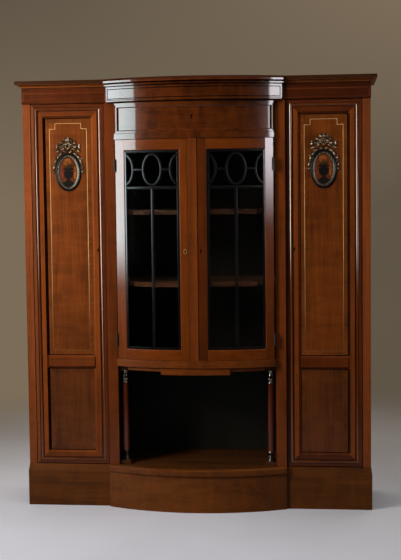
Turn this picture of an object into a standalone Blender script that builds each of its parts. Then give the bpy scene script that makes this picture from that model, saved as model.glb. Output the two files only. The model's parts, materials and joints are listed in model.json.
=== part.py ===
"""Bow-front display cabinet in mahogany, with two closed wings and a bowed centre.

The centre holds a drawer, a pair of bowed glazed doors on a fixed post, and an
open niche with two columns. All lengths are in metres, +Z is up and the front
faces -Y. The origin is the middle of the footprint, on the floor.
"""
from math import ceil, cos, floor, pi, radians, sin, sqrt

import bmesh
import bpy
from mathutils import Vector

# Heights of the storeys, from the floor up
PLINTH_HEIGHT = 0.184
NICHE_HEIGHT = 0.441
RAIL_HEIGHT = 0.031
DISPLAY_HEIGHT = 0.948
DRAWER_RAIL_HEIGHT = 0.025
DRAWER_SPACE = 0.135
FRIEZE_HEIGHT = 0.069
CORNICE_HEIGHT = 0.029

# Widths and depth of the carcass
CARCASS_WIDTH = 1.500
CARCASS_DEPTH = 0.350
CENTRE_WIDTH = 0.778
STILE_WIDTH = 0.034
PILASTER_WIDTH = 0.044
PILASTER_PROUD = 0.008

# The bow, a shallow arc that starts a little in front of the wings
BOW_END_INSET = 0.004
BOW_RISE = 0.089
BOW_BREAK = 0.014
FACET_LENGTH = 0.035

# Board thicknesses
SIDE_THICKNESS = 0.020
BOARD_THICKNESS = 0.020
BACK_THICKNESS = 0.010
UPRIGHT_DEPTH = 0.024
SHELF_THICKNESS = 0.020

# Clearances
JOINT_GAP = 0.0003
DOOR_GAP = 0.0025
HINGE_GAP = 0.0055
POST_GAP = 0.0015
DRAWER_GAP = 0.0015
DRAWER_TOP_GAP = 0.0050
CUT_OVERRUN = 0.050

# How far the bowed faces stand behind or before the frieze
DOOR_SETBACK = 0.009
RAIL_PROUD = 0.004
POST_PROUD = 0.003
PLINTH_PROUD = 0.001
PLINTH_LIP = 0.008
APRON_SETBACK = 0.010

# Plinth
PLINTH_THICKNESS = 0.022
PLINTH_SPREAD = 0.005
PLINTH_BEVEL_HEIGHT = 0.029
PLINTH_LIP_HEIGHT = 0.027
PLINTH_QUIRK = 0.002
BOTTOM_THICKNESS = 0.025

# Frieze and cornice
FRIEZE_THICKNESS = 0.022
FRIEZE_PROUD = 0.002
FRIEZE_END_REVEAL = 0.007
FRIEZE_BEAD_HEIGHT = 0.009
FRIEZE_BEAD_PROUD = 0.003
FRIEZE_GROOVE = 0.0015
FRIEZE_GROOVE_LEVEL = 0.055
FRIEZE_GROOVE_HEIGHT = 0.003
CORNICE_OVERHANG = 0.025
CORNICE_SEAT = 0.020
CORNICE_BEAD = 0.006
CORNICE_BEAD_HEIGHT = 0.006
CORNICE_COVE_WIDTH = 0.013
CORNICE_FILLET = 0.017
CORNICE_STEP = 0.002
COVE_STEPS = 4

# Centre post, apron and its dropped tablet
POST_WIDTH = 0.039
APRON_HEIGHT = 0.016
APRON_THICKNESS = 0.012
APRON_END_GAP = 0.0025
TABLET_WIDTH_SHARE = 0.51
TABLET_DROP = 0.014
TABLET_PROUD = 0.006
TABLET_LAP = 0.004

# Wing doors: framed, with a bead round the front and two sunk panels
WING_DOOR_THICKNESS = 0.022
WING_FRAME_WIDTH = 0.056
WING_BAND_WIDTH = 0.021
WING_BEAD_RADIUS = 0.0040
WING_BEAD_STEPS = 5
WING_CHAMFER_WIDTH = 0.007
WING_CHAMFER_DEPTH = 0.006
WING_MID_RAIL_HEIGHT = 0.051
WING_MID_RAIL_BASE = 0.4295
PANEL_SUNK = 0.009
PANEL_THICKNESS = 0.008
PANEL_TONGUE = 0.008
MID_RAIL_TENON = 0.012

# Pivot hinges of the wing doors
PIVOT_INSET = 0.014
PIVOT_DEPTH = 0.007
PIVOT_PIN_RADIUS = 0.003
PIVOT_PIN_LENGTH = 0.008
PIVOT_HOLE_CLEARANCE = 0.0006
PIVOT_PLATE_LENGTH = 0.030
PIVOT_PLATE_WIDTH = 0.012
PIVOT_PLATE_THICKNESS = 0.0016
PIVOT_PLATE_END = 0.006

# Glazed doors
GLASS_DOOR_THICKNESS = 0.024
GLASS_STILE_WIDTH = 0.0385
GLASS_TOP_RAIL = 0.0465
GLASS_BOTTOM_RAIL = 0.0450
REBATE_WIDTH = 0.008
REBATE_FRONT = 0.0115
PANE_THICKNESS = 0.003

# Tracery in front of each pane
TRACERY_FRONT = 0.0030
TRACERY_BACK = 0.0112
TRACERY_STEP = 0.0006
BORDER_WIDTH = 0.016
BAR_WIDTH = 0.015
BAND_HEIGHT = 0.158
OVAL_HEIGHT = 0.143
OVAL_WIDTH_SHARE = 0.3644
OVAL_BAR = 0.013
OVAL_STEPS = 32
HALF_OVAL_STEPS = 16
HALF_OVAL_START = radians(5.0)
LINK_HEIGHT = 0.012
LINK_OVERLAP = 0.006

# Butt hinges of the glazed doors
HINGE_LENGTH = 0.054
HINGE_RADIUS = 0.0045
HINGE_TOP_INSET = 0.083
HINGE_BOTTOM_INSET = 0.056
HINGE_LEAF_THICKNESS = 0.002
HINGE_LEAF_DEPTH = 0.020
HINGE_STEPS = 16
KEYHOLE_RADIUS = 0.0028
KEYHOLE_SLOT_WIDTH = 0.0030
KEYHOLE_SLOT_DROP = 0.0085
KEYHOLE_DEPTH = 0.008
KEYHOLE_STEPS = 12
GLASS_KEY_INSET = 0.0125
GLASS_KEY_HEIGHT = 0.466
WING_KEY_INSET = 0.036
WING_KEY_HEIGHT = 0.9465
DRAWER_KEY_HEIGHT = 0.066

# Drawer
DRAWER_FRONT_THICKNESS = 0.022
DRAWER_SIDE_BORDER = 0.0155
DRAWER_BASE_BORDER = 0.010
DRAWER_TOP_BORDER = 0.022
DRAWER_FIELD_DEPTH = 0.0025
DRAWER_SIDE_THICKNESS = 0.010
DRAWER_SIDE_HEIGHT = 0.110
DRAWER_BACK_HEIGHT = 0.096
DRAWER_BOTTOM_THICKNESS = 0.008
DRAWER_LENGTH = 0.300

# Shelves of the display compartment, with set-back front corners
SHELF_SETBACK = 0.010
SHELF_CORNER_WIDTH = 0.080
SHELF_CORNER_DEPTH = 0.030
SHELF_LEVEL_SHARES = (0.343, 0.670)
WING_SHELF_HEIGHT = 0.690
WING_SHELF_SETBACK = 0.012

# Columns of the niche
COLUMN_GAP = 0.0015
COLUMN_DEPTH = 0.030
COLUMN_BLOCK = 0.046
COLUMN_FOOT_HEIGHT = 0.016
COLUMN_HEAD_WIDTH = 0.044
COLUMN_HEAD_HEIGHT = 0.025
COLUMN_BASE_HEIGHT = 0.044
COLUMN_CAP_HEIGHT = 0.053
COLUMN_BRASS_RADIUS = 0.0175
COLUMN_SHAFT_RADIUS = 0.0138
COLUMN_CORE_RADIUS = 0.004
COLUMN_STEPS = 16
BASE_SHARES = (
    (1.00, 0.00), (1.00, 0.16), (0.92, 0.24), (0.62, 0.32), (0.56, 0.50),
    (0.64, 0.66), (0.84, 0.74), (0.84, 0.86), (0.70, 0.92), (0.80, 1.00),
)
CAP_SHARES = (
    (0.84, 0.00), (0.84, 0.07), (0.72, 0.12), (0.82, 0.22), (0.87, 0.34),
    (0.82, 0.48), (0.72, 0.64), (0.66, 0.84), (0.78, 0.92), (0.78, 1.00),
)
SHAFT_SHARES = ((0.98, 0.00), (1.00, 0.30), (0.98, 0.65), (0.92, 1.00))

# Oval medallions on the wing doors
MEDALLION_WIDTH_SHARE = 0.543
MEDALLION_ASPECT_SHARE = 1.465
MEDALLION_THICKNESS = 0.007
MEDALLION_RIM_SHARE = 0.86
MEDALLION_FIELD_SHARE = 0.70
MEDALLION_FIELD_DEPTH = 0.003
MEDALLION_DROP = 0.237
MEDALLION_STEPS = 28

# Ribbon and leaf mount over each medallion, in shares of its half height:
# places are (across, up) from the medallion's centre
MOUNT_THICKNESS = 0.0060
MOUNT_STEP = 0.0002
MOUNT_CREST_SHARE = 0.45
SPRAY_REACH_SHARE = 0.10
SPRAY_WIDTH_SHARE = 0.10
SPRAY_START = radians(84.0)
SPRAY_SWEEP = radians(80.0)
SPRAY_LEAVES = 6
SPRAY_LEAF_SHARES = (0.45, 0.85, 1.00, 0.80)
LOOP_CENTRE_SHARES = (0.37, 1.47)
LOOP_REACH_SHARES = (0.27, 0.15)
LOOP_TILT = radians(24.0)
CROWN_CENTRE_SHARES = (0.0, 1.60)
CROWN_REACH_SHARES = (0.12, 0.16)
RIBBON_SHARE = 0.055
LOOP_STEPS = 16
STEM_SHARES = ((0.0, 0.93, 0.10), (0.0, 1.15, 0.09), (0.0, 1.34, 0.16), (0.0, 1.50, 0.07))
TAIL_SHARES = ((0.0, 1.30, 0.06), (0.26, 1.22, 0.06), (0.48, 1.27, 0.05), (0.74, 1.16, 0.03))

# Levels of the storeys
NICHE_FLOOR_Z = PLINTH_HEIGHT
NICHE_TOP_Z = NICHE_FLOOR_Z + NICHE_HEIGHT
DISPLAY_FLOOR_Z = NICHE_TOP_Z + RAIL_HEIGHT
DISPLAY_TOP_Z = DISPLAY_FLOOR_Z + DISPLAY_HEIGHT
DRAWER_FLOOR_Z = DISPLAY_TOP_Z + DRAWER_RAIL_HEIGHT
CARCASS_TOP_Z = DRAWER_FLOOR_Z + DRAWER_SPACE
FRIEZE_TOP_Z = CARCASS_TOP_Z + FRIEZE_HEIGHT

# Planes and lines that several pieces share
OVERALL_DEPTH = CARCASS_DEPTH + BOW_BREAK + BOW_RISE + CORNICE_OVERHANG
BACK_Y = OVERALL_DEPTH / 2
FACE_Y = BACK_Y - CARCASS_DEPTH
BACK_INNER_Y = BACK_Y - BACK_THICKNESS
UPRIGHT_BACK_Y = FACE_Y + UPRIGHT_DEPTH
PILASTER_FACE_Y = FACE_Y - PILASTER_PROUD
HALF_CENTRE = CENTRE_WIDTH / 2
BOW_END_X = HALF_CENTRE - BOW_END_INSET
BOW_RADIUS = (BOW_END_X ** 2 + BOW_RISE ** 2) / (2 * BOW_RISE)
BOW_CENTRE_Y = FACE_Y - BOW_BREAK - BOW_RISE + BOW_RADIUS
HALF_WIDTH = CARCASS_WIDTH / 2
PILASTER_INNER_X = HALF_CENTRE - PILASTER_WIDTH
STILE_INNER_X = HALF_WIDTH - STILE_WIDTH
SIDE_INNER_X = HALF_WIDTH - SIDE_THICKNESS
PARTITION_INNER_X = PILASTER_INNER_X + HINGE_GAP
PARTITION_OUTER_X = PARTITION_INNER_X + SIDE_THICKNESS
FRIEZE_SPLIT_X = BOW_END_X - FRIEZE_END_REVEAL
COLUMN_X = PILASTER_INNER_X - COLUMN_GAP - COLUMN_BLOCK / 2
APRON_HALF_WIDTH = COLUMN_X - COLUMN_HEAD_WIDTH / 2 - APRON_END_GAP

# Wing door edges
WING_DOOR_INNER_X = HALF_CENTRE + DOOR_GAP
WING_DOOR_OUTER_X = STILE_INNER_X - DOOR_GAP
WING_DOOR_BASE_Z = PLINTH_HEIGHT + DOOR_GAP
WING_DOOR_TOP_Z = CARCASS_TOP_Z - DOOR_GAP
PANEL_FRONT_Y = FACE_Y + PANEL_SUNK
PIVOT_X = WING_DOOR_OUTER_X - PIVOT_INSET
PIVOT_Y = FACE_Y + PIVOT_DEPTH
WING_CENTRE_X = (WING_DOOR_INNER_X + WING_DOOR_OUTER_X) / 2
PANEL_HALF_WIDTH = (WING_DOOR_OUTER_X - WING_DOOR_INNER_X) / 2 - WING_FRAME_WIDTH
MEDALLION_HALF_WIDTH = PANEL_HALF_WIDTH * MEDALLION_WIDTH_SHARE
MEDALLION_HALF_HEIGHT = MEDALLION_HALF_WIDTH * MEDALLION_ASPECT_SHARE
MID_RAIL_BASE_Z = PLINTH_HEIGHT + WING_MID_RAIL_BASE
MID_RAIL_TOP_Z = MID_RAIL_BASE_Z + WING_MID_RAIL_HEIGHT

# Glazed door edges
GLASS_DOOR_INNER_X = POST_WIDTH / 2 + POST_GAP
GLASS_DOOR_OUTER_X = PILASTER_INNER_X - HINGE_GAP
HINGE_AXIS_X = (GLASS_DOOR_OUTER_X + PILASTER_INNER_X) / 2
HINGE_AXIS_PROUD = sqrt((HINGE_RADIUS + JOINT_GAP) ** 2 - (HINGE_GAP / 2) ** 2)
GLASS_DOOR_BASE_Z = DISPLAY_FLOOR_Z + POST_GAP
GLASS_DOOR_TOP_Z = DISPLAY_TOP_Z - POST_GAP
WINDOW_INNER_X = GLASS_DOOR_INNER_X + GLASS_STILE_WIDTH
WINDOW_OUTER_X = GLASS_DOOR_OUTER_X - GLASS_STILE_WIDTH
WINDOW_BASE_Z = GLASS_DOOR_BASE_Z + GLASS_BOTTOM_RAIL
WINDOW_TOP_Z = GLASS_DOOR_TOP_Z - GLASS_TOP_RAIL
OVAL_WIDTH = (WINDOW_OUTER_X - WINDOW_INNER_X) * OVAL_WIDTH_SHARE

SIDES = (("left", -1), ("right", 1))
SHARP_ANGLE = radians(32.0)


def clear_scene():
    """Remove every object of the scene that this file runs in."""
    for obj in list(bpy.data.objects):
        bpy.data.objects.remove(obj, do_unlink=True)


def finish(name, colour, roughness, metallic=0.0, transmission=0.0):
    """Return a new material with a Principled surface."""
    material = bpy.data.materials.new(name)
    material.use_nodes = True
    material.diffuse_color = (*colour, 1.0)
    shader = material.node_tree.nodes["Principled BSDF"]
    shader.inputs["Base Color"].default_value = (*colour, 1.0)
    shader.inputs["Roughness"].default_value = roughness
    shader.inputs["Metallic"].default_value = metallic
    shader.inputs["Transmission Weight"].default_value = transmission
    return material


def mahogany(name):
    return finish(f"{name}_mahogany", (0.155, 0.045, 0.014), 0.26)


def pale_mahogany(name):
    return finish(f"{name}_figured_mahogany", (0.225, 0.075, 0.020), 0.24)


def secondary_wood(name):
    return finish(f"{name}_inner_wood", (0.190, 0.110, 0.060), 0.62)


def dark_wood(name):
    return finish(f"{name}_dark_wood", (0.020, 0.012, 0.008), 0.45)


def ebonised_wood(name):
    return finish(f"{name}_ebonised", (0.012, 0.012, 0.013), 0.22)


def brass(name):
    return finish(f"{name}_brass", (0.560, 0.460, 0.300), 0.30, metallic=1.0)


def clear_glass(name):
    return finish(f"{name}_glass", (0.900, 0.930, 0.920), 0.03, transmission=0.92)


def axis_empty(name, location):
    """Return an empty that carries the pieces turning or sliding at location."""
    empty = bpy.data.objects.new(name, None)
    empty.location = location
    bpy.context.collection.objects.link(empty)
    return empty


def loft(name, rings, material=None, carrier=None, around=False):
    """Make one closed solid by joining rings of points, each in world places.

    The rings are capped at both ends, or joined last to first with around.
    The object's own origin is the middle of its box.
    """
    points = [Vector(point) for ring in rings for point in ring]
    low = Vector(min(point[axis] for point in points) for axis in range(3))
    high = Vector(max(point[axis] for point in points) for axis in range(3))
    middle = (low + high) / 2
    bm = bmesh.new()
    loops = [[bm.verts.new(Vector(point) - middle) for point in ring] for ring in rings]
    pairs = list(zip(loops, loops[1:]))
    if around:
        pairs.append((loops[-1], loops[0]))
    else:
        bm.faces.new(loops[0])
        bm.faces.new(loops[-1])
    for near, far in pairs:
        for index in range(len(near)):
            bm.faces.new((near[index - 1], near[index], far[index], far[index - 1]))
    bmesh.ops.recalc_face_normals(bm, faces=bm.faces)
    mesh = bpy.data.meshes.new(name)
    bm.to_mesh(mesh)
    bm.free()
    mesh.shade_smooth()
    mesh.set_sharp_from_angle(angle=SHARP_ANGLE)
    obj = bpy.data.objects.new(name, mesh)
    bpy.context.collection.objects.link(obj)
    obj.location = middle
    if carrier is not None:
        obj.parent = carrier
        obj.location = middle - carrier.location
    if material is not None:
        mesh.materials.append(material)
    return obj


def box(name, x_range, y_range, z_range, material=None, carrier=None):
    """Make a rectangular block between the given limits."""
    (x0, x1), (y0, y1), (z0, z1) = x_range, y_range, z_range
    rings = [[(x0, y0, z), (x1, y0, z), (x1, y1, z), (x0, y1, z)] for z in (z0, z1)]
    return loft(name, rings, material, carrier)


def slab(name, outline, z_range, material=None, carrier=None):
    """Raise a plan outline of (x, y) points between two levels."""
    rings = [[(x, y, z) for x, y in outline] for z in z_range]
    return loft(name, rings, material, carrier)


def mirrored(side, near, far):
    """Return an x range on the left (-1) or right (+1) side, low end first."""
    return tuple(sorted((side * near, side * far)))


def stations(x0, x1):
    """Places along x that share one grid, so that bowed pieces nest."""
    first = ceil(x0 / FACET_LENGTH)
    last = floor(x1 / FACET_LENGTH)
    margin = FACET_LENGTH / 8
    grid = [index * FACET_LENGTH for index in range(first, last + 1)]
    return [x0, *(x for x in grid if x0 + margin < x < x1 - margin), x1]


def bow_y(x, proud=0.0):
    """Depth of a bowed face that stands proud of the frieze face, at x."""
    return BOW_CENTRE_Y - sqrt((BOW_RADIUS + proud) ** 2 - x ** 2)


def on_bow(proud):
    return lambda x: bow_y(x, proud)


def run(name, x_range, section, material=None, carrier=None):
    """Draw a section of (depth rule, level) points along x."""
    rings = [[(x, depth(x), z) for depth, z in section] for x in stations(*x_range)]
    return loft(name, rings, material, carrier)


def boolean(target, tool, operation):
    """Cut tool out of target, or join it to it, and keep tool out of sight."""
    tool.hide_render = True
    tool.display_type = "WIRE"
    modifier = target.modifiers.new(f"{operation}_{tool.name}", "BOOLEAN")
    modifier.operation = operation
    modifier.solver = "EXACT"
    modifier.object = tool


def circle(centre_x, centre_y, z, radius, steps):
    turns = [2 * pi * index / steps for index in range(steps)]
    return [(centre_x + radius * cos(t), centre_y + radius * sin(t), z) for t in turns]


def square(centre_x, centre_y, z, width, steps):
    """A square ring with as many points as a circle of the same steps."""
    ring = []
    for index in range(steps):
        turn = 2 * pi * index / steps
        reach = width / 2 / max(abs(cos(turn)), abs(sin(turn)))
        ring.append((centre_x + reach * cos(turn), centre_y + reach * sin(turn), z))
    return ring


def keyhole(target, x, face_y, z, carrier=None):
    """Sink a keyhole into the front of target: a round hole over a slot."""
    y_range = (face_y - CUT_OVERRUN, face_y + KEYHOLE_DEPTH)
    turns = [2 * pi * index / KEYHOLE_STEPS for index in range(KEYHOLE_STEPS)]
    rings = []
    for y in y_range:
        rings.append([(x + KEYHOLE_RADIUS * cos(t), y, z + KEYHOLE_RADIUS * sin(t)) for t in turns])
    hole = loft(f"{target.name}_key_hole", rings, carrier=carrier)
    slot_x = (x - KEYHOLE_SLOT_WIDTH / 2, x + KEYHOLE_SLOT_WIDTH / 2)
    slot = box(f"{target.name}_key_slot", slot_x, y_range, (z - KEYHOLE_SLOT_DROP, z), carrier=carrier)
    boolean(target, hole, "DIFFERENCE")
    boolean(target, slot, "DIFFERENCE")


def build_plinth():
    """Front boards that turn the corners, a bowed centre board and a back rail."""
    bevel_z = PLINTH_HEIGHT - PLINTH_BEVEL_HEIGHT
    for label, side in SIDES:
        profile = (
            (PLINTH_SPREAD, 0.0),
            (PLINTH_SPREAD, bevel_z),
            (0.0, PLINTH_HEIGHT),
            (PLINTH_SPREAD - PLINTH_THICKNESS, PLINTH_HEIGHT),
            (PLINTH_SPREAD - PLINTH_THICKNESS, 0.0),
        )
        inner_end = side * (HALF_CENTRE + JOINT_GAP)
        corner = side * HALF_WIDTH
        rings = [
            [(inner_end, FACE_Y - out, z) for out, z in profile],
            [(corner + side * out, FACE_Y - out, z) for out, z in profile],
            [(corner + side * out, BACK_Y, z) for out, z in profile],
        ]
        plinth = loft(f"plinth_{label}", rings, mahogany(f"plinth_{label}"))
        drill_pivot(plinth, side, PLINTH_HEIGHT, -1)
    face = PLINTH_PROUD
    lip = PLINTH_PROUD + PLINTH_LIP
    lip_z = PLINTH_HEIGHT - PLINTH_LIP_HEIGHT
    section = (
        (on_bow(face), 0.0),
        (on_bow(face), lip_z - PLINTH_QUIRK),
        (on_bow(face - PLINTH_QUIRK), lip_z - PLINTH_QUIRK),
        (on_bow(face - PLINTH_QUIRK), lip_z),
        (on_bow(lip - PLINTH_QUIRK), lip_z),
        (on_bow(lip), lip_z + PLINTH_QUIRK),
        (on_bow(lip), PLINTH_HEIGHT - PLINTH_QUIRK),
        (on_bow(lip - PLINTH_QUIRK), PLINTH_HEIGHT),
        (on_bow(face - PLINTH_THICKNESS), PLINTH_HEIGHT),
        (on_bow(face - PLINTH_THICKNESS), 0.0),
    )
    run("plinth_bow", (-HALF_CENTRE, HALF_CENTRE), section, pale_mahogany("plinth_bow"))
    inner_x = HALF_WIDTH + PLINTH_SPREAD - PLINTH_THICKNESS - JOINT_GAP
    board_base = PLINTH_HEIGHT - BOTTOM_THICKNESS
    box(
        "plinth_back",
        (-inner_x, inner_x),
        (BACK_Y - PLINTH_THICKNESS, BACK_Y),
        (0.0, board_base - JOINT_GAP),
        secondary_wood("plinth_back"),
    )
    wing_y = FACE_Y - PLINTH_SPREAD + PLINTH_THICKNESS + JOINT_GAP
    bow_front = face - PLINTH_THICKNESS - JOINT_GAP
    outline = [(-inner_x, BACK_Y), (-inner_x, wing_y), (-HALF_CENTRE, wing_y)]
    outline += [(x, bow_y(x, bow_front)) for x in stations(-HALF_CENTRE, HALF_CENTRE)]
    outline += [(HALF_CENTRE, wing_y), (inner_x, wing_y), (inner_x, BACK_Y)]
    slab("bottom_board", outline, (board_base, PLINTH_HEIGHT), mahogany("bottom_board"))


def drill_pivot(target, side, level, way):
    """Bore the hole of a pivot pin into target, down (-1) or up (+1) from level."""
    radius = PIVOT_PIN_RADIUS + PIVOT_HOLE_CLEARANCE
    depth = PIVOT_PIN_LENGTH + PIVOT_HOLE_CLEARANCE
    levels = sorted((level - way * CUT_OVERRUN, level + way * depth))
    rings = [circle(side * PIVOT_X, PIVOT_Y, z, radius, HINGE_STEPS) for z in levels]
    boolean(target, loft(f"{target.name}_bore", rings), "DIFFERENCE")


def build_uprights():
    """Outer sides, partitions, stiles, pilasters and the back."""
    low = PLINTH_HEIGHT + JOINT_GAP
    high = CARCASS_TOP_Z - JOINT_GAP
    behind_upright = UPRIGHT_BACK_Y + JOINT_GAP
    before_back = BACK_INNER_Y - JOINT_GAP
    pilaster_back_y = PILASTER_FACE_Y + UPRIGHT_DEPTH
    for label, side in SIDES:
        box(
            f"side_{label}",
            mirrored(side, SIDE_INNER_X, HALF_WIDTH),
            (behind_upright, before_back),
            (low, FRIEZE_TOP_Z - JOINT_GAP),
            mahogany(f"side_{label}"),
        )
        box(
            f"stile_{label}",
            mirrored(side, STILE_INNER_X, HALF_WIDTH),
            (FACE_Y, UPRIGHT_BACK_Y),
            (low, high),
            mahogany(f"stile_{label}"),
        )
        box(
            f"pilaster_{label}",
            mirrored(side, PILASTER_INNER_X, HALF_CENTRE),
            (PILASTER_FACE_Y, pilaster_back_y),
            (low, high),
            mahogany(f"pilaster_{label}"),
        )
        box(
            f"partition_{label}",
            mirrored(side, PARTITION_INNER_X, PARTITION_OUTER_X),
            (pilaster_back_y + JOINT_GAP, before_back),
            (low, high),
            mahogany(f"partition_{label}"),
        )
    box(
        "back_panel",
        (-HALF_WIDTH, HALF_WIDTH),
        (BACK_INNER_Y, BACK_Y),
        (low, FRIEZE_TOP_Z - JOINT_GAP),
        dark_wood("back_panel"),
    )


def centre_outline(front_proud):
    """Plan of a board that fills the centre bay, wider behind the pilasters."""
    front_x = PILASTER_INNER_X - JOINT_GAP
    rear_x = PARTITION_INNER_X - JOINT_GAP
    step_y = PILASTER_FACE_Y + UPRIGHT_DEPTH + JOINT_GAP
    rear_y = BACK_INNER_Y - JOINT_GAP
    outline = [(-rear_x, rear_y), (-rear_x, step_y), (-front_x, step_y)]
    outline += [(x, bow_y(x, front_proud)) for x in stations(-front_x, front_x)]
    outline += [(front_x, step_y), (rear_x, step_y), (rear_x, rear_y)]
    return outline


def build_boards():
    """Top board, drawer rail, display floor, centre post and apron."""
    inner_x = SIDE_INNER_X - JOINT_GAP
    rear_y = BACK_INNER_Y - JOINT_GAP
    wing_y = FACE_Y - FRIEZE_PROUD + FRIEZE_THICKNESS + JOINT_GAP
    bow_front = -FRIEZE_THICKNESS - JOINT_GAP
    outline = [(-inner_x, rear_y), (-inner_x, wing_y), (-FRIEZE_SPLIT_X, wing_y)]
    outline += [(x, bow_y(x, bow_front)) for x in stations(-FRIEZE_SPLIT_X, FRIEZE_SPLIT_X)]
    outline += [(FRIEZE_SPLIT_X, wing_y), (inner_x, wing_y), (inner_x, rear_y)]
    levels = (CARCASS_TOP_Z, CARCASS_TOP_Z + BOARD_THICKNESS)
    slab("top_board", outline, levels, secondary_wood("top_board"))
    rail_face = RAIL_PROUD - DOOR_SETBACK
    slab(
        "drawer_rail",
        centre_outline(rail_face),
        (DISPLAY_TOP_Z, DRAWER_FLOOR_Z),
        mahogany("drawer_rail"),
    )
    slab(
        "display_floor",
        centre_outline(rail_face),
        (NICHE_TOP_Z, DISPLAY_FLOOR_Z),
        mahogany("display_floor"),
    )
    post_front = POST_PROUD - DOOR_SETBACK
    post_back = -DOOR_SETBACK - GLASS_DOOR_THICKNESS
    low = DISPLAY_FLOOR_Z + JOINT_GAP
    high = DISPLAY_TOP_Z - JOINT_GAP
    section = (
        (on_bow(post_front), low),
        (on_bow(post_front), high),
        (on_bow(post_back), high),
        (on_bow(post_back), low),
    )
    run("centre_post", (-POST_WIDTH / 2, POST_WIDTH / 2), section, mahogany("centre_post"))
    build_apron(rail_face - APRON_SETBACK)


def build_apron(face):
    """Thin bowed apron under the display floor, with a dropped tablet."""
    high = NICHE_TOP_Z - JOINT_GAP
    low = NICHE_TOP_Z - APRON_HEIGHT
    back = face - APRON_THICKNESS
    section = ((on_bow(face), low), (on_bow(face), high), (on_bow(back), high), (on_bow(back), low))
    apron = run("apron", (-APRON_HALF_WIDTH, APRON_HALF_WIDTH), section, mahogany("apron"))
    tablet_face = face + TABLET_PROUD
    tablet_back = back + TABLET_LAP
    tablet_high = high - TABLET_LAP
    tablet_low = low - TABLET_DROP
    section = (
        (on_bow(tablet_face), tablet_low),
        (on_bow(tablet_face), tablet_high),
        (on_bow(tablet_back), tablet_high),
        (on_bow(tablet_back), tablet_low),
    )
    tablet_half = APRON_HALF_WIDTH * TABLET_WIDTH_SHARE
    tablet = run("apron_tablet", (-tablet_half, tablet_half), section)
    boolean(apron, tablet, "UNION")


def frieze_profile():
    """Frieze points as (distance out, height): bead, flat face and groove."""
    bead = FRIEZE_BEAD_PROUD
    groove_base = FRIEZE_GROOVE_LEVEL
    groove_top = groove_base + FRIEZE_GROOVE_HEIGHT
    high = FRIEZE_HEIGHT - JOINT_GAP
    return (
        (0.0, 0.0),
        (bead, bead / 2),
        (bead, FRIEZE_BEAD_HEIGHT - bead / 2),
        (0.0, FRIEZE_BEAD_HEIGHT),
        (0.0, groove_base),
        (-FRIEZE_GROOVE, groove_base),
        (-FRIEZE_GROOVE, groove_top),
        (0.0, groove_top),
        (0.0, high),
        (-FRIEZE_THICKNESS, high),
        (-FRIEZE_THICKNESS, 0.0),
    )


def cornice_profile():
    """Cornice points as (distance out, height): bead, cove and fillet."""
    points = [(0.0, 0.0), (CORNICE_BEAD, 0.0)]
    cove_top = CORNICE_HEIGHT - CORNICE_FILLET
    cove_rise = cove_top - CORNICE_BEAD_HEIGHT
    for index in range(COVE_STEPS + 1):
        turn = pi / 2 * index / COVE_STEPS
        out = CORNICE_BEAD + CORNICE_COVE_WIDTH * (1 - cos(turn))
        points.append((out, CORNICE_BEAD_HEIGHT + cove_rise * sin(turn)))
    step_out = CORNICE_OVERHANG - CORNICE_STEP
    points += [
        (step_out, cove_top),
        (step_out, CORNICE_HEIGHT - CORNICE_FILLET + CORNICE_STEP),
        (CORNICE_OVERHANG, CORNICE_HEIGHT - CORNICE_FILLET + CORNICE_STEP),
        (CORNICE_OVERHANG, CORNICE_HEIGHT),
        (-CORNICE_SEAT, CORNICE_HEIGHT),
        (-CORNICE_SEAT, 0.0),
    ]
    return points


def build_entablature():
    """Frieze boards and cornice mouldings of the wings and the bow."""
    frieze = frieze_profile()
    cornice = cornice_profile()
    face_y = FACE_Y - FRIEZE_PROUD
    side_x = HALF_WIDTH + FRIEZE_PROUD
    for label, side in SIDES:
        ends = (side * (FRIEZE_SPLIT_X + JOINT_GAP), side * side_x)
        rings = [[(x, face_y - out, CARCASS_TOP_Z + z) for out, z in frieze] for x in ends]
        board = loft(f"frieze_{label}", rings, mahogany(f"frieze_{label}"))
        drill_pivot(board, side, CARCASS_TOP_Z, 1)
        inner_end = side * (BOW_END_X + JOINT_GAP)
        rings = [
            [(inner_end, face_y - out, FRIEZE_TOP_Z + z) for out, z in cornice],
            [(side * (side_x + out), face_y - out, FRIEZE_TOP_Z + z) for out, z in cornice],
            [(side * (side_x + out), BACK_Y, FRIEZE_TOP_Z + z) for out, z in cornice],
        ]
        loft(f"cornice_{label}", rings, mahogany(f"cornice_{label}"))
    section = [(on_bow(out), CARCASS_TOP_Z + z) for out, z in frieze]
    run("frieze_bow", (-FRIEZE_SPLIT_X, FRIEZE_SPLIT_X), section, pale_mahogany("frieze_bow"))
    section = [(on_bow(out), FRIEZE_TOP_Z + z) for out, z in cornice]
    run("cornice_bow", (-BOW_END_X, BOW_END_X), section, mahogany("cornice_bow"))


def wing_frame_profile():
    """Door frame points as (inset from the edge, depth behind the face)."""
    points = [(0.0, 0.0), (WING_BAND_WIDTH, 0.0)]
    centre = WING_BAND_WIDTH + WING_BEAD_RADIUS
    for index in range(1, WING_BEAD_STEPS):
        turn = pi * index / WING_BEAD_STEPS
        inset = centre - WING_BEAD_RADIUS * cos(turn)
        points.append((inset, -WING_BEAD_RADIUS * sin(turn)))
    groove_inset = WING_FRAME_WIDTH - PANEL_TONGUE
    groove_back = PANEL_SUNK + PANEL_THICKNESS + 2 * JOINT_GAP
    points += [
        (centre + WING_BEAD_RADIUS, 0.0),
        (WING_FRAME_WIDTH - WING_CHAMFER_WIDTH, 0.0),
        (WING_FRAME_WIDTH, WING_CHAMFER_DEPTH),
        (WING_FRAME_WIDTH, PANEL_SUNK),
        (groove_inset, PANEL_SUNK),
        (groove_inset, groove_back),
        (WING_FRAME_WIDTH, groove_back),
        (WING_FRAME_WIDTH, WING_DOOR_THICKNESS),
        (0.0, WING_DOOR_THICKNESS),
    ]
    return points


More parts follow.
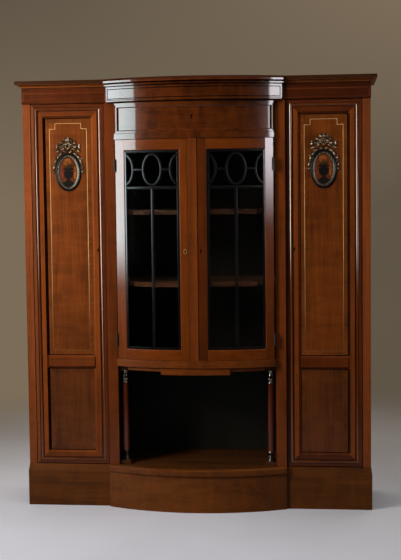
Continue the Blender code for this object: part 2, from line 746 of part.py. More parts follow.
def mid_rail_section():
    """Half of the mid rail as (distance from its middle, depth) points."""
    half = WING_MID_RAIL_HEIGHT / 2
    groove = half - PANEL_TONGUE
    groove_back = PANEL_SUNK + PANEL_THICKNESS + 2 * JOINT_GAP
    return (
        (half - WING_CHAMFER_WIDTH, 0.0),
        (half, WING_CHAMFER_DEPTH),
        (half, PANEL_SUNK),
        (groove, PANEL_SUNK),
        (groove, groove_back),
        (half, groove_back),
        (half, WING_DOOR_THICKNESS),
    )


def build_wing_door(label, side):
    """Framed door with a bead, a mid rail, two panels and its pivots."""
    name = f"wing_door_{label}"
    axis = axis_empty(f"{name}_axis", (side * PIVOT_X, PIVOT_Y, 0.0))
    left, right = mirrored(side, WING_DOOR_INNER_X, WING_DOOR_OUTER_X)
    corners = (
        (left, WING_DOOR_BASE_Z, 1, 1),
        (right, WING_DOOR_BASE_Z, -1, 1),
        (right, WING_DOOR_TOP_Z, -1, -1),
        (left, WING_DOOR_TOP_Z, 1, -1),
    )
    profile = wing_frame_profile()
    rings = []
    for x, z, way_x, way_z in corners:
        ring = [(x + way_x * inset, FACE_Y + depth, z + way_z * inset) for inset, depth in profile]
        rings.append(ring)
    frame = loft(f"{name}_frame", rings, mahogany(name), axis, around=True)
    centre_x = side * WING_CENTRE_X
    centre_z = (MID_RAIL_BASE_Z + MID_RAIL_TOP_Z) / 2
    half = mid_rail_section()
    section = [*half, *((-off, depth) for off, depth in reversed(half))]
    reach = PANEL_HALF_WIDTH + MID_RAIL_TENON
    rings = []
    for x in (centre_x - reach, centre_x + reach):
        rings.append([(x, FACE_Y + depth, centre_z + off) for off, depth in section])
    boolean(frame, loft(f"{name}_mid_rail", rings, carrier=axis), "UNION")
    key_x = side * (WING_DOOR_INNER_X + WING_KEY_INSET)
    keyhole(frame, key_x, FACE_Y, PLINTH_HEIGHT + WING_KEY_HEIGHT, axis)
    tongue = PANEL_TONGUE - JOINT_GAP
    panel_x = (centre_x - PANEL_HALF_WIDTH - tongue, centre_x + PANEL_HALF_WIDTH + tongue)
    panel_y = (PANEL_FRONT_Y + JOINT_GAP, PANEL_FRONT_Y + JOINT_GAP + PANEL_THICKNESS)
    lower_z = (WING_DOOR_BASE_Z + WING_FRAME_WIDTH - tongue, MID_RAIL_BASE_Z + tongue)
    upper_z = (MID_RAIL_TOP_Z - tongue, WING_DOOR_TOP_Z - WING_FRAME_WIDTH + tongue)
    for place, z_range in (("lower", lower_z), ("upper", upper_z)):
        panel_name = f"wing_panel_{label}_{place}"
        box(panel_name, panel_x, panel_y, z_range, pale_mahogany(panel_name), axis)
    build_pivots(label, side, axis)
    build_medallion(label, centre_x, panel_y[0], axis)


def build_pivots(label, side, axis):
    """Plates with a pin, one under and one over each wing door."""
    centre_x = side * (PIVOT_X - PIVOT_PLATE_LENGTH / 2 + PIVOT_PLATE_END)
    for place, level, way in (("lower", WING_DOOR_BASE_Z, -1), ("upper", WING_DOOR_TOP_Z, 1)):
        seat = level + way * JOINT_GAP
        rim = seat + way * PIVOT_PLATE_THICKNESS
        tip = (PLINTH_HEIGHT if way < 0 else CARCASS_TOP_Z) + way * PIVOT_PIN_LENGTH
        plate = []
        for x, y, z in square(0.0, 0.0, 0.0, 1.0, HINGE_STEPS):
            plate.append((centre_x + x * PIVOT_PLATE_LENGTH, PIVOT_Y + y * PIVOT_PLATE_WIDTH))
        rings = [[(x, y, z) for x, y in plate] for z in (seat, rim)]
        rings.append(circle(side * PIVOT_X, PIVOT_Y, rim, PIVOT_PIN_RADIUS, HINGE_STEPS))
        rings.append(circle(side * PIVOT_X, PIVOT_Y, tip, PIVOT_PIN_RADIUS, HINGE_STEPS))
        name = f"wing_pivot_{label}_{place}"
        loft(name, rings, brass(name), axis)


def build_medallion(label, centre_x, panel_y, axis):
    """Oval plaque with a raised rim, on the upper panel."""
    back = panel_y - JOINT_GAP
    front = back - MEDALLION_THICKNESS
    centre_z = WING_DOOR_TOP_Z - WING_FRAME_WIDTH - MEDALLION_DROP
    layers = (
        (1.0, back),
        (1.0, front + MEDALLION_FIELD_DEPTH / 2),
        ((1.0 + MEDALLION_RIM_SHARE) / 2, front),
        (MEDALLION_RIM_SHARE, front + MEDALLION_FIELD_DEPTH / 2),
        (MEDALLION_FIELD_SHARE, front + MEDALLION_FIELD_DEPTH),
    )
    rings = []
    for share, y in layers:
        ring = []
        for index in range(MEDALLION_STEPS):
            turn = 2 * pi * index / MEDALLION_STEPS
            x = centre_x + share * MEDALLION_HALF_WIDTH * cos(turn)
            z = centre_z + share * MEDALLION_HALF_HEIGHT * sin(turn)
            ring.append((x, y, z))
        rings.append(ring)
    name = f"medallion_{label}"
    medallion = loft(name, rings, ebonised_wood(name), axis)
    build_mount(medallion, centre_x, centre_z, back, axis)


def relief(name, path, back, axis, around=False):
    """A raised band on a panel along a path of (x, z, half width) points."""
    front = back - MOUNT_THICKNESS
    middle = (back + front) / 2
    section = ((1, back), (1, middle), (MOUNT_CREST_SHARE, front))
    section += tuple((-share, y) for share, y in reversed(section))
    last = len(path) - 1
    rings = []
    for index, (x, z, half) in enumerate(path):
        before = path[index - 1] if around or index else path[0]
        after = path[0] if around and index == last else path[min(index + 1, last)]
        along = Vector((after[0] - before[0], after[1] - before[1])).normalized()
        ring = [(x - share * half * along.y, y, z + share * half * along.x) for share, y in section]
        rings.append(ring)
    return loft(name, rings, carrier=axis, around=around)


def mount_loop(centre_shares, reach_shares, tilt):
    """Path of one ribbon loop, in shares of the medallion's half height."""
    path = []
    for index in range(LOOP_STEPS):
        turn = 2 * pi * index / LOOP_STEPS
        across = reach_shares[0] * cos(turn)
        up = reach_shares[1] * sin(turn)
        x = centre_shares[0] + across * cos(tilt) - up * sin(tilt)
        z = centre_shares[1] + across * sin(tilt) + up * cos(tilt)
        path.append((x, z, RIBBON_SHARE))
    return path


def mount_spray():
    """Path of one spray of leaves round the rim, as wide as its leaves."""
    rim = MEDALLION_HALF_WIDTH / MEDALLION_HALF_HEIGHT
    steps = SPRAY_LEAVES * len(SPRAY_LEAF_SHARES)
    path = []
    for index in range(steps):
        turn = SPRAY_START - SPRAY_SWEEP * index / steps
        x = (rim + SPRAY_REACH_SHARE) * cos(turn)
        z = (1 + SPRAY_REACH_SHARE) * sin(turn)
        path.append((x, z, SPRAY_WIDTH_SHARE * SPRAY_LEAF_SHARES[index % len(SPRAY_LEAF_SHARES)]))
    return path


def build_mount(medallion, centre_x, centre_z, back, axis):
    """Join a ribbon bow on a stem and two sprays of leaves to the medallion."""
    bands = [("stem", STEM_SHARES, 1, False)]
    bands.append(("crown", mount_loop(CROWN_CENTRE_SHARES, CROWN_REACH_SHARES, 0.0), 1, True))
    for label, side in SIDES:
        bands.append((f"spray_{label}", mount_spray(), side, False))
        bands.append((f"tail_{label}", TAIL_SHARES, side, False))
        loop = mount_loop(LOOP_CENTRE_SHARES, LOOP_REACH_SHARES, LOOP_TILT)
        bands.append((f"loop_{label}", loop, side, True))
    unit = MEDALLION_HALF_HEIGHT
    for order, (part, shares, side, around) in enumerate(bands, start=1):
        path = [(centre_x + side * x * unit, centre_z + z * unit, half * unit) for x, z, half in shares]
        band_back = back - order * MOUNT_STEP
        band = relief(f"{medallion.name}_{part}", path, band_back, axis, around)
        boolean(medallion, band, "UNION")


def build_glass_door(label, side):
    """Bowed glazed door with its pane, tracery and keyhole."""
    name = f"glass_door_{label}"
    face = -DOOR_SETBACK
    corner_y = bow_y(GLASS_DOOR_OUTER_X, face)
    axis_y = corner_y - HINGE_AXIS_PROUD
    axis = axis_empty(f"{name}_axis", (side * HINGE_AXIS_X, axis_y, 0.0))
    back = face - GLASS_DOOR_THICKNESS
    section = (
        (on_bow(face), GLASS_DOOR_BASE_Z),
        (on_bow(face), GLASS_DOOR_TOP_Z),
        (on_bow(back), GLASS_DOOR_TOP_Z),
        (on_bow(back), GLASS_DOOR_BASE_Z),
    )
    x_range = mirrored(side, GLASS_DOOR_INNER_X, GLASS_DOOR_OUTER_X)
    frame = run(f"{name}_frame", x_range, section, mahogany(name), axis)
    window_x = mirrored(side, WINDOW_INNER_X, WINDOW_OUTER_X)
    through = (corner_y - BOW_RISE - CUT_OVERRUN, corner_y + GLASS_DOOR_THICKNESS + CUT_OVERRUN)
    window = box(f"{name}_window", window_x, through, (WINDOW_BASE_Z, WINDOW_TOP_Z), carrier=axis)
    boolean(frame, window, "DIFFERENCE")
    rebate_x = mirrored(side, WINDOW_INNER_X - REBATE_WIDTH, WINDOW_OUTER_X + REBATE_WIDTH)
    rebate_z = (WINDOW_BASE_Z - REBATE_WIDTH, WINDOW_TOP_Z + REBATE_WIDTH)
    front = face - REBATE_FRONT
    rear = back - CUT_OVERRUN
    section = (
        (on_bow(front), rebate_z[0]),
        (on_bow(front), rebate_z[1]),
        (on_bow(rear), rebate_z[1]),
        (on_bow(rear), rebate_z[0]),
    )
    boolean(frame, run(f"{name}_rebate", rebate_x, section, carrier=axis), "DIFFERENCE")
    key_x = side * (GLASS_DOOR_INNER_X + GLASS_KEY_INSET)
    keyhole(frame, key_x, bow_y(key_x, face), GLASS_DOOR_BASE_Z + GLASS_KEY_HEIGHT, axis)
    pane_x = (rebate_x[0] + JOINT_GAP, rebate_x[1] - JOINT_GAP)
    pane_z = (rebate_z[0] + JOINT_GAP, rebate_z[1] - JOINT_GAP)
    pane_front = front - JOINT_GAP
    pane_back = pane_front - PANE_THICKNESS
    section = (
        (on_bow(pane_front), pane_z[0]),
        (on_bow(pane_front), pane_z[1]),
        (on_bow(pane_back), pane_z[1]),
        (on_bow(pane_back), pane_z[0]),
    )
    run(f"glass_pane_{label}", pane_x, section, clear_glass(f"glass_pane_{label}"), axis)
    build_tracery(label, window_x, face, axis)
    build_hinges(label, side, axis_y)


def bent_bar(name, x_range, z_range, face, layer, axis, material=None):
    """A tracery bar that follows the bow; each layer lies a little deeper."""
    front = face - TRACERY_FRONT - layer * TRACERY_STEP
    back = face - TRACERY_BACK + layer * TRACERY_STEP
    low, high = z_range
    section = ((on_bow(front), low), (on_bow(front), high), (on_bow(back), high), (on_bow(back), low))
    return run(name, x_range, section, material, axis)


def oval_bar(name, centre_x, centre_z, turns, around, face, axis):
    """An oval ring of tracery, or the part of it between the given turns."""
    front = face - TRACERY_FRONT - TRACERY_STEP / 2
    back = face - TRACERY_BACK + TRACERY_STEP / 2
    rings = []
    for turn in turns:
        ring = []
        for width, height, depth in (
            (OVAL_WIDTH, OVAL_HEIGHT, front),
            (OVAL_WIDTH, OVAL_HEIGHT, back),
            (OVAL_WIDTH - 2 * OVAL_BAR, OVAL_HEIGHT - 2 * OVAL_BAR, back),
            (OVAL_WIDTH - 2 * OVAL_BAR, OVAL_HEIGHT - 2 * OVAL_BAR, front),
        ):
            x = centre_x + width / 2 * cos(turn)
            ring.append((x, bow_y(x, depth), centre_z + height / 2 * sin(turn)))
        rings.append(ring)
    return loft(name, rings, carrier=axis, around=around)


def build_tracery(label, window_x, face, axis):
    """Border, band of ovals, cross bar and upright bar before the pane."""
    name = f"tracery_{label}"
    x0, x1 = window_x[0] + JOINT_GAP, window_x[1] - JOINT_GAP
    z0, z1 = WINDOW_BASE_Z + JOINT_GAP, WINDOW_TOP_Z - JOINT_GAP
    centre_x = (x0 + x1) / 2
    frame = bent_bar(name, (x0, x1), (z0, z1), face, 0, axis, ebonised_wood(name))
    field_x = (x0 + BORDER_WIDTH, x1 - BORDER_WIDTH)
    through = (bow_y(0.0, face) - CUT_OVERRUN, FACE_Y + CUT_OVERRUN)
    field = box(f"{name}_field", field_x, through, (z0 + BORDER_WIDTH, z1 - BORDER_WIDTH), carrier=axis)
    boolean(frame, field, "DIFFERENCE")
    bar_top = z1 - BAND_HEIGHT
    bar_x = (x0 + BORDER_WIDTH / 2, x1 - BORDER_WIDTH / 2)
    bar = bent_bar(f"{name}_cross", bar_x, (bar_top - BAR_WIDTH, bar_top), face, 1, axis)
    boolean(frame, bar, "UNION")
    upright_x = (centre_x - BAR_WIDTH / 2, centre_x + BAR_WIDTH / 2)
    upright_z = (z0 + BORDER_WIDTH / 2, bar_top - BAR_WIDTH / 2)
    upright = bent_bar(f"{name}_upright", upright_x, upright_z, face, 2, axis)
    boolean(frame, upright, "UNION")
    centre_z = (z1 - BORDER_WIDTH + bar_top) / 2
    full = [2 * pi * index / OVAL_STEPS for index in range(OVAL_STEPS)]
    boolean(frame, oval_bar(f"{name}_oval", centre_x, centre_z, full, True, face, axis), "UNION")
    sweep = pi - 2 * HALF_OVAL_START
    half = [sweep * index / HALF_OVAL_STEPS for index in range(HALF_OVAL_STEPS + 1)]
    for place, edge_x, start in (("near", x0, -pi / 2), ("far", x1, pi / 2)):
        turns = [start + HALF_OVAL_START + turn for turn in half]
        part = oval_bar(f"{name}_{place}_oval", edge_x, centre_z, turns, False, face, axis)
        boolean(frame, part, "UNION")
    link_z = (centre_z - LINK_HEIGHT / 2, centre_z + LINK_HEIGHT / 2)
    inner_reach = OVAL_WIDTH / 2 - LINK_OVERLAP
    for place, edge_x, way in (("near", x0, 1), ("far", x1, -1)):
        ends = sorted((edge_x + way * inner_reach, centre_x - way * inner_reach))
        link = bent_bar(f"{name}_{place}_link", ends, link_z, face, 3, axis)
        boolean(frame, link, "UNION")


def build_hinges(label, side, axis_y):
    """Barrel and pilaster leaf of each butt hinge, drawn as one plan outline."""
    leaf_outer = PILASTER_INNER_X - JOINT_GAP
    leaf_inner = leaf_outer - HINGE_LEAF_THICKNESS
    rear_y = PILASTER_FACE_Y + HINGE_LEAF_DEPTH
    centre = HINGE_AXIS_X
    start = pi / 2 - (leaf_outer - centre) / HINGE_RADIUS
    end = pi / 2 + (centre - leaf_inner) / HINGE_RADIUS
    sweep = 2 * pi - (end - start)
    outline = []
    for index in range(HINGE_STEPS + 1):
        turn = end + sweep * index / HINGE_STEPS
        outline.append((centre + HINGE_RADIUS * cos(turn), axis_y + HINGE_RADIUS * sin(turn)))
    outline += [(leaf_outer, rear_y), (leaf_inner, rear_y)]
    outline = [(side * x, y) for x, y in outline]
    top = GLASS_DOOR_TOP_Z - HINGE_TOP_INSET
    base = GLASS_DOOR_BASE_Z + HINGE_BOTTOM_INSET
    for place, low in (("upper", top - HINGE_LENGTH), ("lower", base)):
        name = f"glass_hinge_{label}_{place}"
        slab(name, outline, (low, low + HINGE_LENGTH), brass(name))


def build_drawer():
    """Bowed drawer front with a raised border, and the box behind it."""
    axis = axis_empty("drawer_axis", (0.0, FACE_Y, DRAWER_FLOOR_Z))
    face = -DOOR_SETBACK
    back = face - DRAWER_FRONT_THICKNESS
    half = PILASTER_INNER_X - DRAWER_GAP
    low = DRAWER_FLOOR_Z + JOINT_GAP
    high = CARCASS_TOP_Z - DRAWER_TOP_GAP
    section = ((on_bow(face), low), (on_bow(face), high), (on_bow(back), high), (on_bow(back), low))
    front = run("drawer_front", (-half, half), section, pale_mahogany("drawer_front"), axis)
    field = face - DRAWER_FIELD_DEPTH
    out = face + CUT_OVERRUN
    field_low = low + DRAWER_BASE_BORDER
    field_high = high - DRAWER_TOP_BORDER
    section = (
        (on_bow(out), field_low),
        (on_bow(out), field_high),
        (on_bow(field), field_high),
        (on_bow(field), field_low),
    )
    field_x = (-half + DRAWER_SIDE_BORDER, half - DRAWER_SIDE_BORDER)
    boolean(front, run("drawer_field", field_x, section, carrier=axis), "DIFFERENCE")
    keyhole(front, 0.0, bow_y(0.0, field), DRAWER_FLOOR_Z + DRAWER_KEY_HEIGHT, axis)
    inner_half = half - DRAWER_SIDE_THICKNESS
    rear_y = FACE_Y + DRAWER_LENGTH
    side_high = low + DRAWER_SIDE_HEIGHT
    for label, side in SIDES:
        inner_y = bow_y(inner_half, back - JOINT_GAP)
        outer_y = bow_y(half, back - JOINT_GAP)
        outline = [
            (side * inner_half, inner_y),
            (side * half, outer_y),
            (side * half, rear_y),
            (side * inner_half, rear_y),
        ]
        name = f"drawer_side_{label}"
        slab(name, outline, (low, side_high), secondary_wood(name), axis)
    board_x = inner_half - JOINT_GAP
    box(
        "drawer_back",
        (-board_x, board_x),
        (rear_y - DRAWER_SIDE_THICKNESS, rear_y),
        (low + DRAWER_BOTTOM_THICKNESS + JOINT_GAP, low + DRAWER_BACK_HEIGHT),
        secondary_wood("drawer_back"),
        axis,
    )
    outline = [(board_x, rear_y), (-board_x, rear_y)]
    outline += [(x, bow_y(x, back - JOINT_GAP)) for x in stations(-board_x, board_x)]
    levels = (low, low + DRAWER_BOTTOM_THICKNESS)
    slab("drawer_bottom", outline, levels, secondary_wood("drawer_bottom"), axis)


def build_shelves():
    """Two bowed shelves behind the glass and one plain shelf in each wing."""
    half = PILASTER_INNER_X - SHELF_CORNER_WIDTH
    rear_x = PARTITION_INNER_X - JOINT_GAP
    rear_y = BACK_INNER_Y - JOINT_GAP
    corner_y = FACE_Y + SHELF_CORNER_DEPTH
    front = -DOOR_SETBACK - GLASS_DOOR_THICKNESS - SHELF_SETBACK
    outline = [(-rear_x, rear_y), (-rear_x, corner_y), (-half, corner_y)]
    outline += [(x, bow_y(x, front)) for x in stations(-half, half)]
    outline += [(half, corner_y), (rear_x, corner_y), (rear_x, rear_y)]
    for place, level_share in zip(("lower", "upper"), SHELF_LEVEL_SHARES):
        middle = DISPLAY_FLOOR_Z + DISPLAY_HEIGHT * level_share
        levels = (middle - SHELF_THICKNESS / 2, middle + SHELF_THICKNESS / 2)
        name = f"display_shelf_{place}"
        slab(name, outline, levels, mahogany(name))
    for label, side in SIDES:
        name = f"wing_shelf_{label}"
        base = PLINTH_HEIGHT + WING_SHELF_HEIGHT
        box(
            name,
            mirrored(side, PARTITION_OUTER_X + JOINT_GAP, SIDE_INNER_X - JOINT_GAP),
            (UPRIGHT_BACK_Y + WING_SHELF_SETBACK, BACK_INNER_Y - JOINT_GAP),
            (base, base + SHELF_THICKNESS),
            secondary_wood(name),
        )


def build_columns():
    """Turned shafts on brass rods that end in a base and a capital."""
    low = PLINTH_HEIGHT + JOINT_GAP
    high = NICHE_TOP_Z - JOINT_GAP
    base_low = low + COLUMN_FOOT_HEIGHT
    shaft_low = base_low + COLUMN_BASE_HEIGHT
    cap_high = high - COLUMN_HEAD_HEIGHT
    shaft_high = cap_high - COLUMN_CAP_HEIGHT
    centre_y = FACE_Y + COLUMN_DEPTH
    for label, side in SIDES:
        centre_x = side * COLUMN_X

        def disc(radius, z):
            return circle(centre_x, centre_y, z, radius, COLUMN_STEPS)

        rings = [square(centre_x, centre_y, z, COLUMN_BLOCK, COLUMN_STEPS) for z in (low, base_low)]
        for radius_share, height_share in BASE_SHARES:
            z = base_low + COLUMN_BASE_HEIGHT * height_share
            rings.append(disc(COLUMN_BRASS_RADIUS * radius_share, z))
        rings.append(disc(COLUMN_CORE_RADIUS, shaft_low))
        rings.append(disc(COLUMN_CORE_RADIUS, shaft_high))
        for radius_share, height_share in CAP_SHARES:
            z = shaft_high + COLUMN_CAP_HEIGHT * height_share
            rings.append(disc(COLUMN_BRASS_RADIUS * radius_share, z))
        for z in (cap_high, high):
            rings.append(square(centre_x, centre_y, z, COLUMN_HEAD_WIDTH, COLUMN_STEPS))
        loft(f"column_brass_{label}", rings, brass(f"column_brass_{label}"))
        bore = COLUMN_CORE_RADIUS + JOINT_GAP
        outer = shaft_low + JOINT_GAP
        length = shaft_high - shaft_low - 2 * JOINT_GAP
        rings = [disc(bore, outer + length), disc(bore, outer)]
        for radius_share, height_share in SHAFT_SHARES:
            rings.append(disc(COLUMN_SHAFT_RADIUS * radius_share, outer + length * height_share))
        name = f"column_shaft_{label}"
        loft(name, rings, mahogany(name), around=True)


def main():
    clear_scene()
    build_plinth()
    build_uprights()
    build_boards()
    build_entablature()
    build_shelves()
    build_columns()
    build_drawer()
    for label, side in SIDES:
        build_wing_door(label, side)
        build_glass_door(label, side)


main()
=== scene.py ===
import json
from functools import partial
from math import ceil, cos, pi, radians, sin, sqrt

import bmesh
import bpy
from mathutils import Matrix, Vector

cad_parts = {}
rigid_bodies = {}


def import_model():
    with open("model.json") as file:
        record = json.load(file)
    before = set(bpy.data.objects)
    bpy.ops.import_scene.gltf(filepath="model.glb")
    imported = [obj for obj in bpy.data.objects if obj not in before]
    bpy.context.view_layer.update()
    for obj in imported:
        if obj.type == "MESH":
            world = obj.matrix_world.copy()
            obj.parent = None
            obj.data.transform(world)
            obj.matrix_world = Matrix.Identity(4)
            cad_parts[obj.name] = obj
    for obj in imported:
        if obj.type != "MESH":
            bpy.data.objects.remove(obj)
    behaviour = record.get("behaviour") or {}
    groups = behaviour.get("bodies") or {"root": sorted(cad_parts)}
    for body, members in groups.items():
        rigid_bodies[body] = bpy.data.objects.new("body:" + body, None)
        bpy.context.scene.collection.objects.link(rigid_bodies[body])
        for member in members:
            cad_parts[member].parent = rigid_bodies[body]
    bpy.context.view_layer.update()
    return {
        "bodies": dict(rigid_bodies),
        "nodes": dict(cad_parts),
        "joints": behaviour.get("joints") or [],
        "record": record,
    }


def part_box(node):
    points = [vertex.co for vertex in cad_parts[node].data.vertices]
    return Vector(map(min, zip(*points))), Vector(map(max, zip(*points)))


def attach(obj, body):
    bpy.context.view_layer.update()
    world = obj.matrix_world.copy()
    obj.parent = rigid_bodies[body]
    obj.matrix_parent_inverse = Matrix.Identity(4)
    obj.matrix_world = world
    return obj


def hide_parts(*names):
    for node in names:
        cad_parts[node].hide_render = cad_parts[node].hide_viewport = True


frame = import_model()

# Looks of a bow-front mahogany display cabinet. All lengths are in metres, the
# front faces -Y. A depth called proud is measured out from a surface, and on
# the bow from the frieze's face.

SIDES = (("left", -1), ("right", 1))
SHARP_ANGLE = radians(34.0)
GAP = 0.0003
ARRIS = 0.0008
BOW_STEP = 0.008
WELD_REACH = 0.00001
MITRE_LIMIT = 0.3
ROUND_POWER = 0.7
BAR_ARRIS_SHARE = 0.16
BAR_CUT_SHARE = 0.3

# The bow
FRIEZE_BEAD_PROUD = 0.003
BOW_RISE = 0.089
HALF_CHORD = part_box("cornice_bow")[1].x
BOW_APEX_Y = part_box("frieze_bow")[0].y + FRIEZE_BEAD_PROUD
BOW_RADIUS = (HALF_CHORD ** 2 + BOW_RISE ** 2) / (2 * BOW_RISE)
DOOR_PROUD = BOW_APEX_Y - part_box("drawer_front")[0].y
RAIL_PROUD = BOW_APEX_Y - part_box("drawer_rail")[0].y
POST_PROUD = BOW_APEX_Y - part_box("centre_post")[0].y
POST_THICKNESS = 0.027
BOARD_EDGE_DEPTH = 0.004

# Cornice and frieze
CORNICE_BEAD_RADIUS = 0.003
CORNICE_COVE_BASE = 0.0065
CORNICE_COVE_TOP = 0.012
CORNICE_COVE_OUT = 0.019
CORNICE_STEP_OUT = 0.0225
CORNICE_STEP_TOP = 0.0138
CORNICE_TOP_ROUND = 0.0015
BOW_FILLET_OUT = 0.0080
BOW_FILLET_TOP = 0.0040
BOW_HOLLOW_DEPTH = 0.0100
BOW_HOLLOW_BASE = 0.0062
BOW_HOLLOW_TOP = 0.0112
BOW_CAP_BASE = 0.0190
BOW_CAP_SET_BACK = 0.0105
CORNICE_SEAT = 0.020
FRIEZE_BEAD_HEIGHT = 0.009
FRIEZE_THICKNESS = 0.022
FLAT_BEAD_SHARE = 0.25
FRIEZE_LINE_LEVEL = 0.0640
FRIEZE_LINE_HEIGHT = 0.0036
FRIEZE_LINE_DEPTH = 0.0030
BORDER_LINE_WIDTH = 0.0032
BORDER_LINE_END_INSET = 0.0075
BORDER_LINE_BASE = 0.0133
BORDER_LINE_TOP = 0.0542
WING_BORDER_WIDTH = 0.0024
WING_BORDER_BASE = 0.0080
WING_BORDER_TOP = 0.0450

# Wing doors
BAND_WIDTH = 0.0140
QUIRK_WIDTH = 0.0020
INNER_QUIRK_WIDTH = 0.0065
QUIRK_DEPTH = 0.0055
BEAD_HALF_WIDTH = 0.0046
BEAD_RISE = 0.00221
BEAD_SHARES = ((1.0, 0.0), (0.6, 0.46), (0.2, 0.89), (0.08, 0.98), (0.02, 1.0))
BEAD_CENTRE = BAND_WIDTH + QUIRK_WIDTH + BEAD_HALF_WIDTH
BEAD_END = BEAD_CENTRE + BEAD_HALF_WIDTH
EDGE_ROUND = 0.0020
# The right wing's frieze and the right door's mid rail take darker woods as painted shade, the light falling
# from the left.
FRIEZE_LIT_AND_SHADED_KINDS = {"left": "frieze", "right": "frieze_painted_shade"}
BEAD_DRIFTS = {"left": 0.0018, "right": 0.0012}
BAND_SHEEN_AND_SHADE_KINDS = {"left": ("band_painted_sheen", "band"), "right": ("dark_band", "band")}
RAIL_LIT_AND_SHADED_KINDS = {"left": "rail", "right": "frieze"}
# Lines round the panels' corners are painted shade: black on most sides, wood on one.
CORNER_SHADE_KINDS = {"left": "banding", "right": "dark_band"}
CORNER_SHADE_TINTS = {"left": [0, 1, 0, 0], "right": [0, 0, 0, 1]}
# Sides whose panel slopes are covered with a strip of painted shade.
DARK_SLOPES = {"left": -1, "right": 1}
SLOPE_WIDTH = 0.0078
PANEL_TONGUE = 0.008
FRAME_LAP = 0.0025
CORNER_SHADE_WIDTH = 0.0034
CORNER_SHADE_PROUD = 0.0004
SLOPE_DEPTH = 0.0086
SLOPE_SHARES = ((0.0, 0.0), (0.0, 0.08), (0.42, 0.50), (0.70, 0.80), (1.0, 1.0))
BANDING_WIDTH = 0.021
BANDING_PROUD = 0.0001
STRING_WIDTH = 0.0019
STRING_PROUD = 0.0002
STRING_INSET = 0.0205
STRING_TOP_INSET = 0.0235
STRING_STEP_WIDTH = 0.025
STRING_STEP_HEIGHT = 0.024
STRING_BASE_INSET = 0.0215
WING_KEY_X = 0.4265
WING_KEY_Z = 1.1310

# Oval medallions
MEDALLION_Z = 1.4685
MEDALLION_HALF_WIDTH = 0.0555
MEDALLION_HALF_HEIGHT = 0.0820
RIM_WIDTH = 0.0018
RIM_PROUD = 0.0016
RING_WIDTH = 0.0082
RING_PROUD = 0.0060
GILT_WIDTH = 0.0094
GILT_PROUD = 0.0050
GILT_SHARES = ((-1.0, 0.0), (-1.0, 0.80), (-0.85, 0.85), (0.60, 0.35), (0.75, 0.45), (1.0, 0.40), (1.0, 0.0))
GILT_BEADS = 38
GILT_BEAD_RADIUS = 0.0030
GILT_BEAD_INSET_SHARE = 0.4
GILT_BEAD_RISE_SHARE = 0.8
PICTURE_PROUD = 0.0020
GROUND_TOP_SHARE = -0.62
INLAY_PROUD = 0.0002
URN_PROUD = 0.0004
FROND_PROUD = 0.0006
OVAL_STEPS = 72
FIELD_SHARE = 1.02
GROUND_SHARE = 0.99
PATCH_SHARES = (
    # centre and reach in shares of the picture's half sizes, then its wood
    ("glow", (-0.10, 0.66), (0.44, 0.26), ("flame", "X", 1)),
    ("left_leaves", (-0.72, -0.06), (0.15, 0.36), ("rose", "Z", 1)),
    ("right_leaves", (0.74, -0.04), (0.14, 0.42), ("flame", "Z", 2)),
)
URN_SHARES = (
    (0.56, 0.28), (0.58, 0.20), (0.34, 0.15), (0.28, 0.10), (0.50, 0.00), (0.58, -0.12), (0.50, -0.26),
    (0.34, -0.38), (0.15, -0.47), (0.14, -0.53), (0.36, -0.58), (0.42, -0.66), (0.42, -0.78),
)
HANDLE_PLACE_SHARES = (0.60, 0.12)
HANDLE_REACH_SHARES = (0.15, 0.11)
HANDLE_WIDTH = 0.0026
FROND_ROOT_SHARES = (0.0, 0.26)
FROND_LENGTH_SHARES = ((90.0, 0.44), (57.0, 0.46), (123.0, 0.46), (22.0, 0.56), (158.0, 0.56))
FROND_SHARES = ((0.0, 0.0), (0.45, 0.045), (0.75, 0.055), (1.0, 0.0), (0.75, -0.055), (0.45, -0.045))
FROND_STEP = 0.0001

# Ribbon and leaf mounts: heights and ribbons in metres, places and leaves in
# shares of the medallion's half height
MOUNT_RISE = 0.0062
RIBBON_HALF = 0.0034
RIBBON_SHARES = ((-1.0, 0.0), (-1.0, 0.75), (-0.65, 1.0), (0.0, 0.55), (0.65, 1.0), (1.0, 0.75), (1.0, 0.0))
LEAF_SHARES = ((0.0, 0.30), (0.18, 0.75), (0.45, 1.0), (0.72, 0.72), (0.90, 0.38), (1.0, 0.08))
RIB_SHARES = ((-1.0, 0.0), (-0.8, 0.45), (-0.15, 1.0), (0.15, 1.0), (0.8, 0.45), (1.0, 0.0))
LEAF_EDGE_SHARE = 0.25
LEAF_RIB_SHARE = 0.75
LOOP_RISE_SHARE = 0.70
TAIL_RISE_SHARE = 0.60
TAIL_STEPS = 10
SPRAY_RISE_SHARE = 0.75
CREST_RISE_SHARE = 0.80
BLOOM_RISE_SHARES = (0.85, 0.20)
BUD_RISE_SHARE = 0.55
KNOT_RISE_SHARE = 0.60
HOLLOW_RISE_SHARE = 0.50
TOP_RISE_SHARE = 1.12
SPRAY_LEAF_WIDTH_SHARE = 0.11
CREST_LEAF_WIDTH_SHARE = 0.13
SPRAY_ROOT_SHARES = (0.03, 1.03)
SPRAY_REACH_SHARES = (0.20, 0.17)
SPRAY_LEAN = radians(62.0)
LOOP_SHARES = (
    ((0.20, 1.50), (0.16, 0.10), radians(52.0)),
    ((0.43, 1.33), (0.20, 0.11), radians(-14.0)),
    ((0.10, 1.68), (0.08, 0.12), radians(-16.0)),
)
TAIL_SHARES = ((0.02, 1.18), (0.18, 1.07), (0.34, 1.04), (0.46, 0.92), (0.58, 0.86), (0.66, 0.68))
SPRAY_LEAVES = 6
SPRAY_START = radians(58.0)
SPRAY_SWEEP = radians(54.0)
SPRAY_FAN = radians(44.0)
CREST_SHARES = (
    (0.02, 1.28, 0.24, 1.42), (0.03, 1.38, 0.16, 1.60), (0.02, 1.58, 0.05, 1.84), (0.22, 1.22, 0.48, 1.20),
    (0.30, 1.50, 0.46, 1.62), (0.52, 1.30, 0.68, 1.44), (0.06, 1.06, 0.30, 1.14), (0.50, 1.18, 0.66, 1.08),
)
